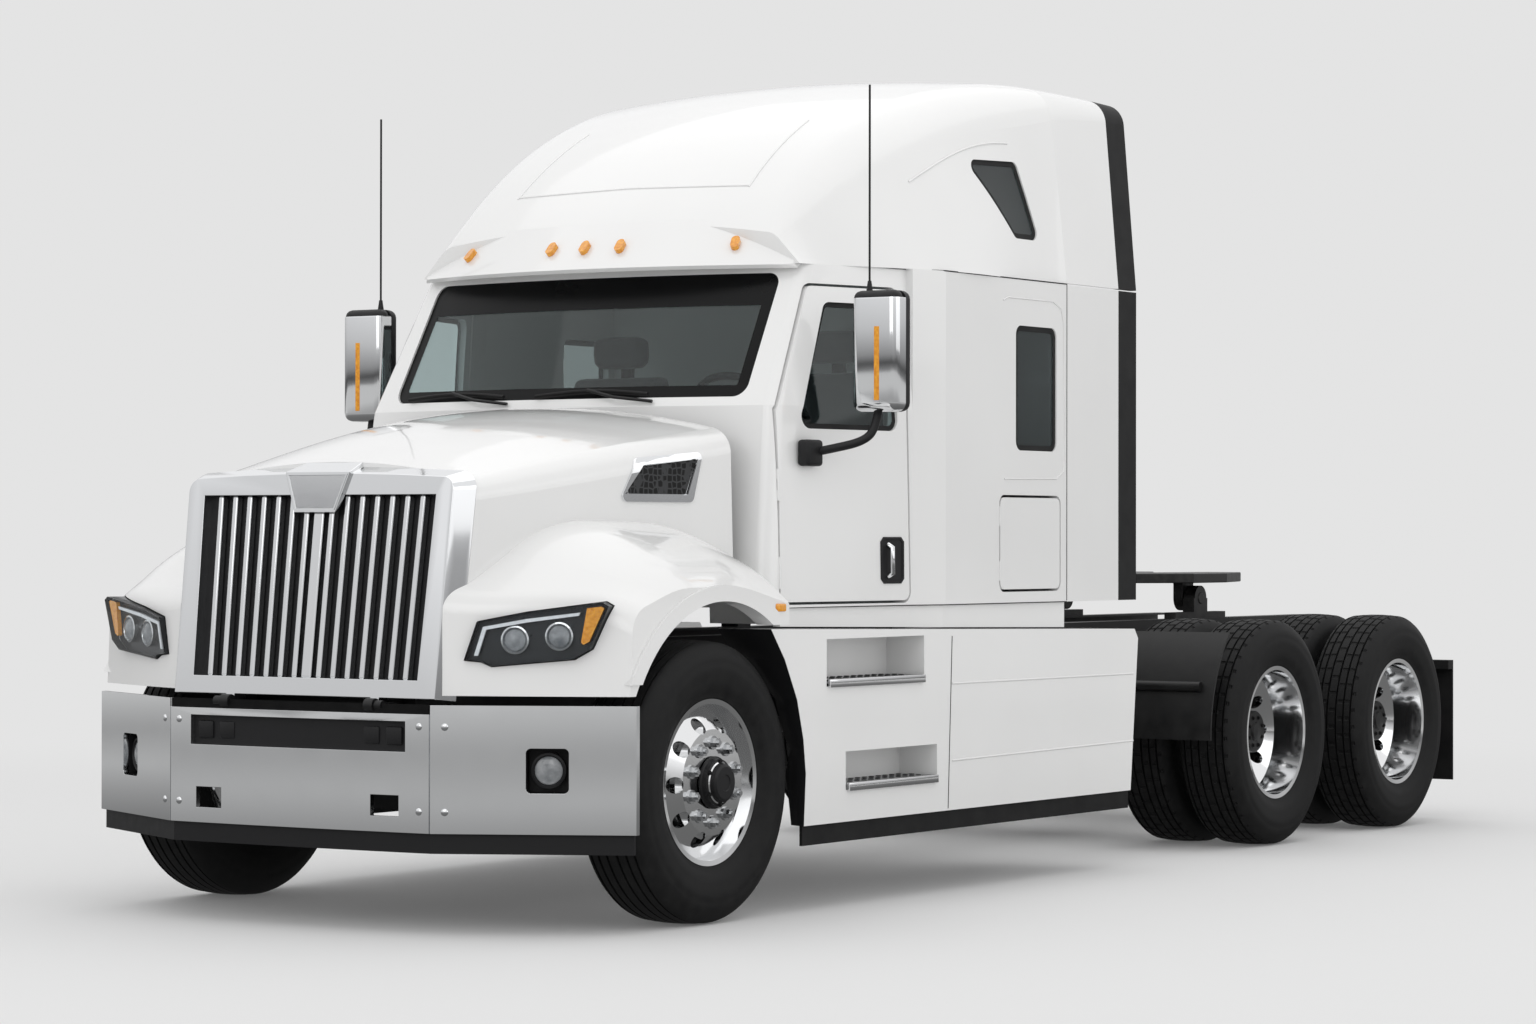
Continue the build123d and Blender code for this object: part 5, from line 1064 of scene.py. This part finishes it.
# Each cushion: its name, half its width, its front and rear from the seat's middle, its low and high z.
seat_cushions = (
    ("seat_cushion", 0.245, -0.245, 0.12, 1.425, 1.545),
    ("seat_back", 0.235, 0.145, 0.245, 1.57, 2.06),
    ("headrest", 0.13, 0.15, 0.235, 2.085, 2.22),
)
for side, name in side_names.items():
    x = side * seat_x
    for part, half, front, rear, low, high in seat_cushions:
        stands_for = ("seats",) if (part, name) == ("seat_cushion", "left") else ()
        cushion(f"{part}_{name}", (x - half, at(seat_y + front), low), (x + half, at(seat_y + rear), high),
                stands_for)
    bm = bmesh.new()
    add_box(bm, (x - 0.2, at(seat_y - 0.19), 1.161), (x + 0.2, at(seat_y + 0.19), 1.4), 0.02)
    add_box(bm, (x - 0.23, at(seat_y - 0.22), 1.39), (x + 0.23, at(seat_y + 0.22), 1.42), 0.01)
    add_box(bm, (x - 0.03, at(seat_y + 0.225), 1.42), (x + 0.03, at(seat_y + 0.255), 2.12), 0.008)
    finish_piece(f"seat_base_{name}", bm, black_plastic)
cushion("mattress", (-1.07, at(1.985), 1.598), (1.07, at(2.57), 1.72), ("bunk",))
print("cushions made")

# %% Fifth wheel, tail and steps
soften("fifth_wheel", "fifth_wheel_body", cast_steel, 0.005, 2)
bm = bmesh.new()
for x in (0.62, 0.9, 1.14):
    add_box(bm, (x - 0.012, at(6.575), 0.742), (x + 0.012, at(6.586), 0.768), 0.003)
twin_piece("flap_bolts", bm, nut_steel)
bm = bmesh.new()
for x in (0.35, 0.4):
    add_box(bm, (x - 0.021, at(6.5085), 0.848), (x + 0.021, at(6.5115), 0.892), 0.001)
twin_piece("tail_lamp_lenses", bm, red_lens)
bm = bmesh.new()
upper_tread, lower_tread = 0.856, 0.466
stud_step = 0.05
for low_y, high_y, tread in ((0.72, 1.36, upper_tread), (0.85, 1.46, lower_tread)):
    for row in range(3):
        for index in range(int((high_y - low_y) / stud_step)):
            y = low_y + (index + 0.5 * (row % 2) + 0.25) * stud_step
            add_cone(bm, (1.09 + 0.045 * row, at(y), tread + 0.001), 0.013, 0.009, 0.004, 8)
twin_piece("step_studs", bm, black_plastic)
bm = bmesh.new()
for low_y, high_y, tread in ((0.695, 1.379, upper_tread), (0.829, 1.477, lower_tread)):
    add_box(bm, (1.2225, at(low_y), tread - 0.03), (1.2345, at(high_y), tread + 0.001), 0.003)
twin_piece("step_lips", bm, aluminium)
print("rear and steps made")

# %% [markdown]
# The stage is one pale tone. The floor takes the truck's shadow close by and fades into plain
# backdrop tone further out, so no horizon shows. The sky lights everything softly. Only mirror-like
# rays meet its darker band near the horizon, which gives chrome and glass something to reflect.

# %% Floor and sky
backdrop_grey = (0.775, 0.775, 0.775)
floor_bm = bmesh.new()
bmesh.ops.create_grid(floor_bm, x_segments=1, y_segments=1, size=60)
floor_mesh = bpy.data.meshes.new("floor")
floor_bm.to_mesh(floor_mesh)
floor_bm.free()
floor = bpy.data.objects.new("floor", floor_mesh)
bpy.context.scene.collection.objects.link(floor)
pale = finish("pale_floor", (0.8, 0.8, 0.8), 0.7, grain=(0.05, 1),
              tones=((0.795, 0.795, 0.795), (0.805, 0.805, 0.805)), Specular_IOR_Level=0.1)
plain_tone = add_node(pale, "ShaderNodeEmission", Color=(*backdrop_grey, 1))
distance = add_node(pale, "ShaderNodeVectorMath")
distance.operation = "LENGTH"
wire(pale, add_node(pale, "ShaderNodeTexCoord"), "Object", distance, 0)
fade = add_node(pale, "ShaderNodeMapRange", From_Min=4.0, From_Max=11.0, To_Min=0.12, To_Max=1.0)
fade.interpolation_type = "SMOOTHSTEP"
wire(pale, distance, "Value", fade, "Value")
seen_floor = mix_shaders(pale, fade, "Result", principled(pale), plain_tone)

# Mirror-like rays see a painted reflection of the floor instead: a glowing tone with painted shade, darkest
# next to the truck and lighter further out, with a darker ring about 15 m away.
painted_floor_reflection_tones = add_ramp(pale, [(place, (tone, tone, tone)) for place, tone in (
    (0.0, 0.1), (0.2, 0.2), (0.36, 0.5), (0.5, 0.36), (0.75, 0.62))])
share = add_node(pale, "ShaderNodeMapRange", From_Min=0.0, From_Max=30.0)
mirrored_floor = add_node(pale, "ShaderNodeEmission")
wire(pale, distance, "Value", share, "Value")
wire(pale, share, "Result", painted_floor_reflection_tones, "Fac")
wire(pale, painted_floor_reflection_tones, "Color", mirrored_floor, "Color")
path = add_node(pale, "ShaderNodeLightPath")
show(pale, mix_shaders(pale, path, "Is Glossy Ray", seen_floor, mirrored_floor))
floor_mesh.materials.append(pale)
floor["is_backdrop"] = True

world = bpy.data.worlds.new("studio")
bpy.context.scene.world = world
world.use_nodes = True
sky_light = world.node_tree.nodes["Background"]
sky_light.inputs["Color"].default_value = (1, 1, 1, 1)
sky_light.inputs["Strength"].default_value = 0.8
seen_sky = add_node(world, "ShaderNodeBackground", Color=(*backdrop_grey, 1), Strength=1.0)
mirrored_sky = add_node(world, "ShaderNodeBackground", Strength=1.0)
split = add_node(world, "ShaderNodeSeparateXYZ")
height = add_node(world, "ShaderNodeMapRange", From_Min=-1.0, From_Max=1.0)
sky_tones = add_ramp(world, [(place, (tone, tone, tone * 1.01)) for place, tone in (
    (0.0, 0.5), (0.44, 0.42), (0.49, 0.2), (0.5, 0.06), (0.515, 0.3), (0.56, 0.62), (0.66, 0.95),
    (1.0, 0.8))])
wire(world, add_node(world, "ShaderNodeTexCoord"), "Generated", split, 0)
wire(world, split, "Z", height, "Value")
wire(world, height, "Result", sky_tones, "Fac")
wire(world, sky_tones, "Color", mirrored_sky, "Color")
path = add_node(world, "ShaderNodeLightPath")
unseen = mix_shaders(world, path, "Is Glossy Ray", sky_light, mirrored_sky)
clear_ray = either_ray(world, "Is Camera Ray", "Is Transmission Ray")
show(world, mix_shaders(world, clear_ray, "Value", unseen, seen_sky), "World Output")


def softbox(name, place, aim, size, power):
    """A large area lamp pointed at a place."""
    data = bpy.data.lights.new(name, "AREA")
    data.shape = "RECTANGLE"
    data.size, data.size_y = size
    data.energy = power
    lamp = bpy.data.objects.new(name, data)
    bpy.context.scene.collection.objects.link(lamp)
    lamp.location = place
    lamp.rotation_euler = (Vector(aim) - Vector(place)).to_track_quat("-Z", "Y").to_euler()


softbox("top_light", (0, 0, 9), (0, 0, 0), (12, 14), 210)
softbox("front_light", (4, -13, 6), (0, -2, 1.2), (8, 5), 120)
softbox("side_light", (12, 1, 5), (0, 0, 1.3), (12, 5), 105)
print("stage and lamps set")

# %% Finish
low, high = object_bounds()
print("visual box", [round(v, 3) for v in (*low, *high)])
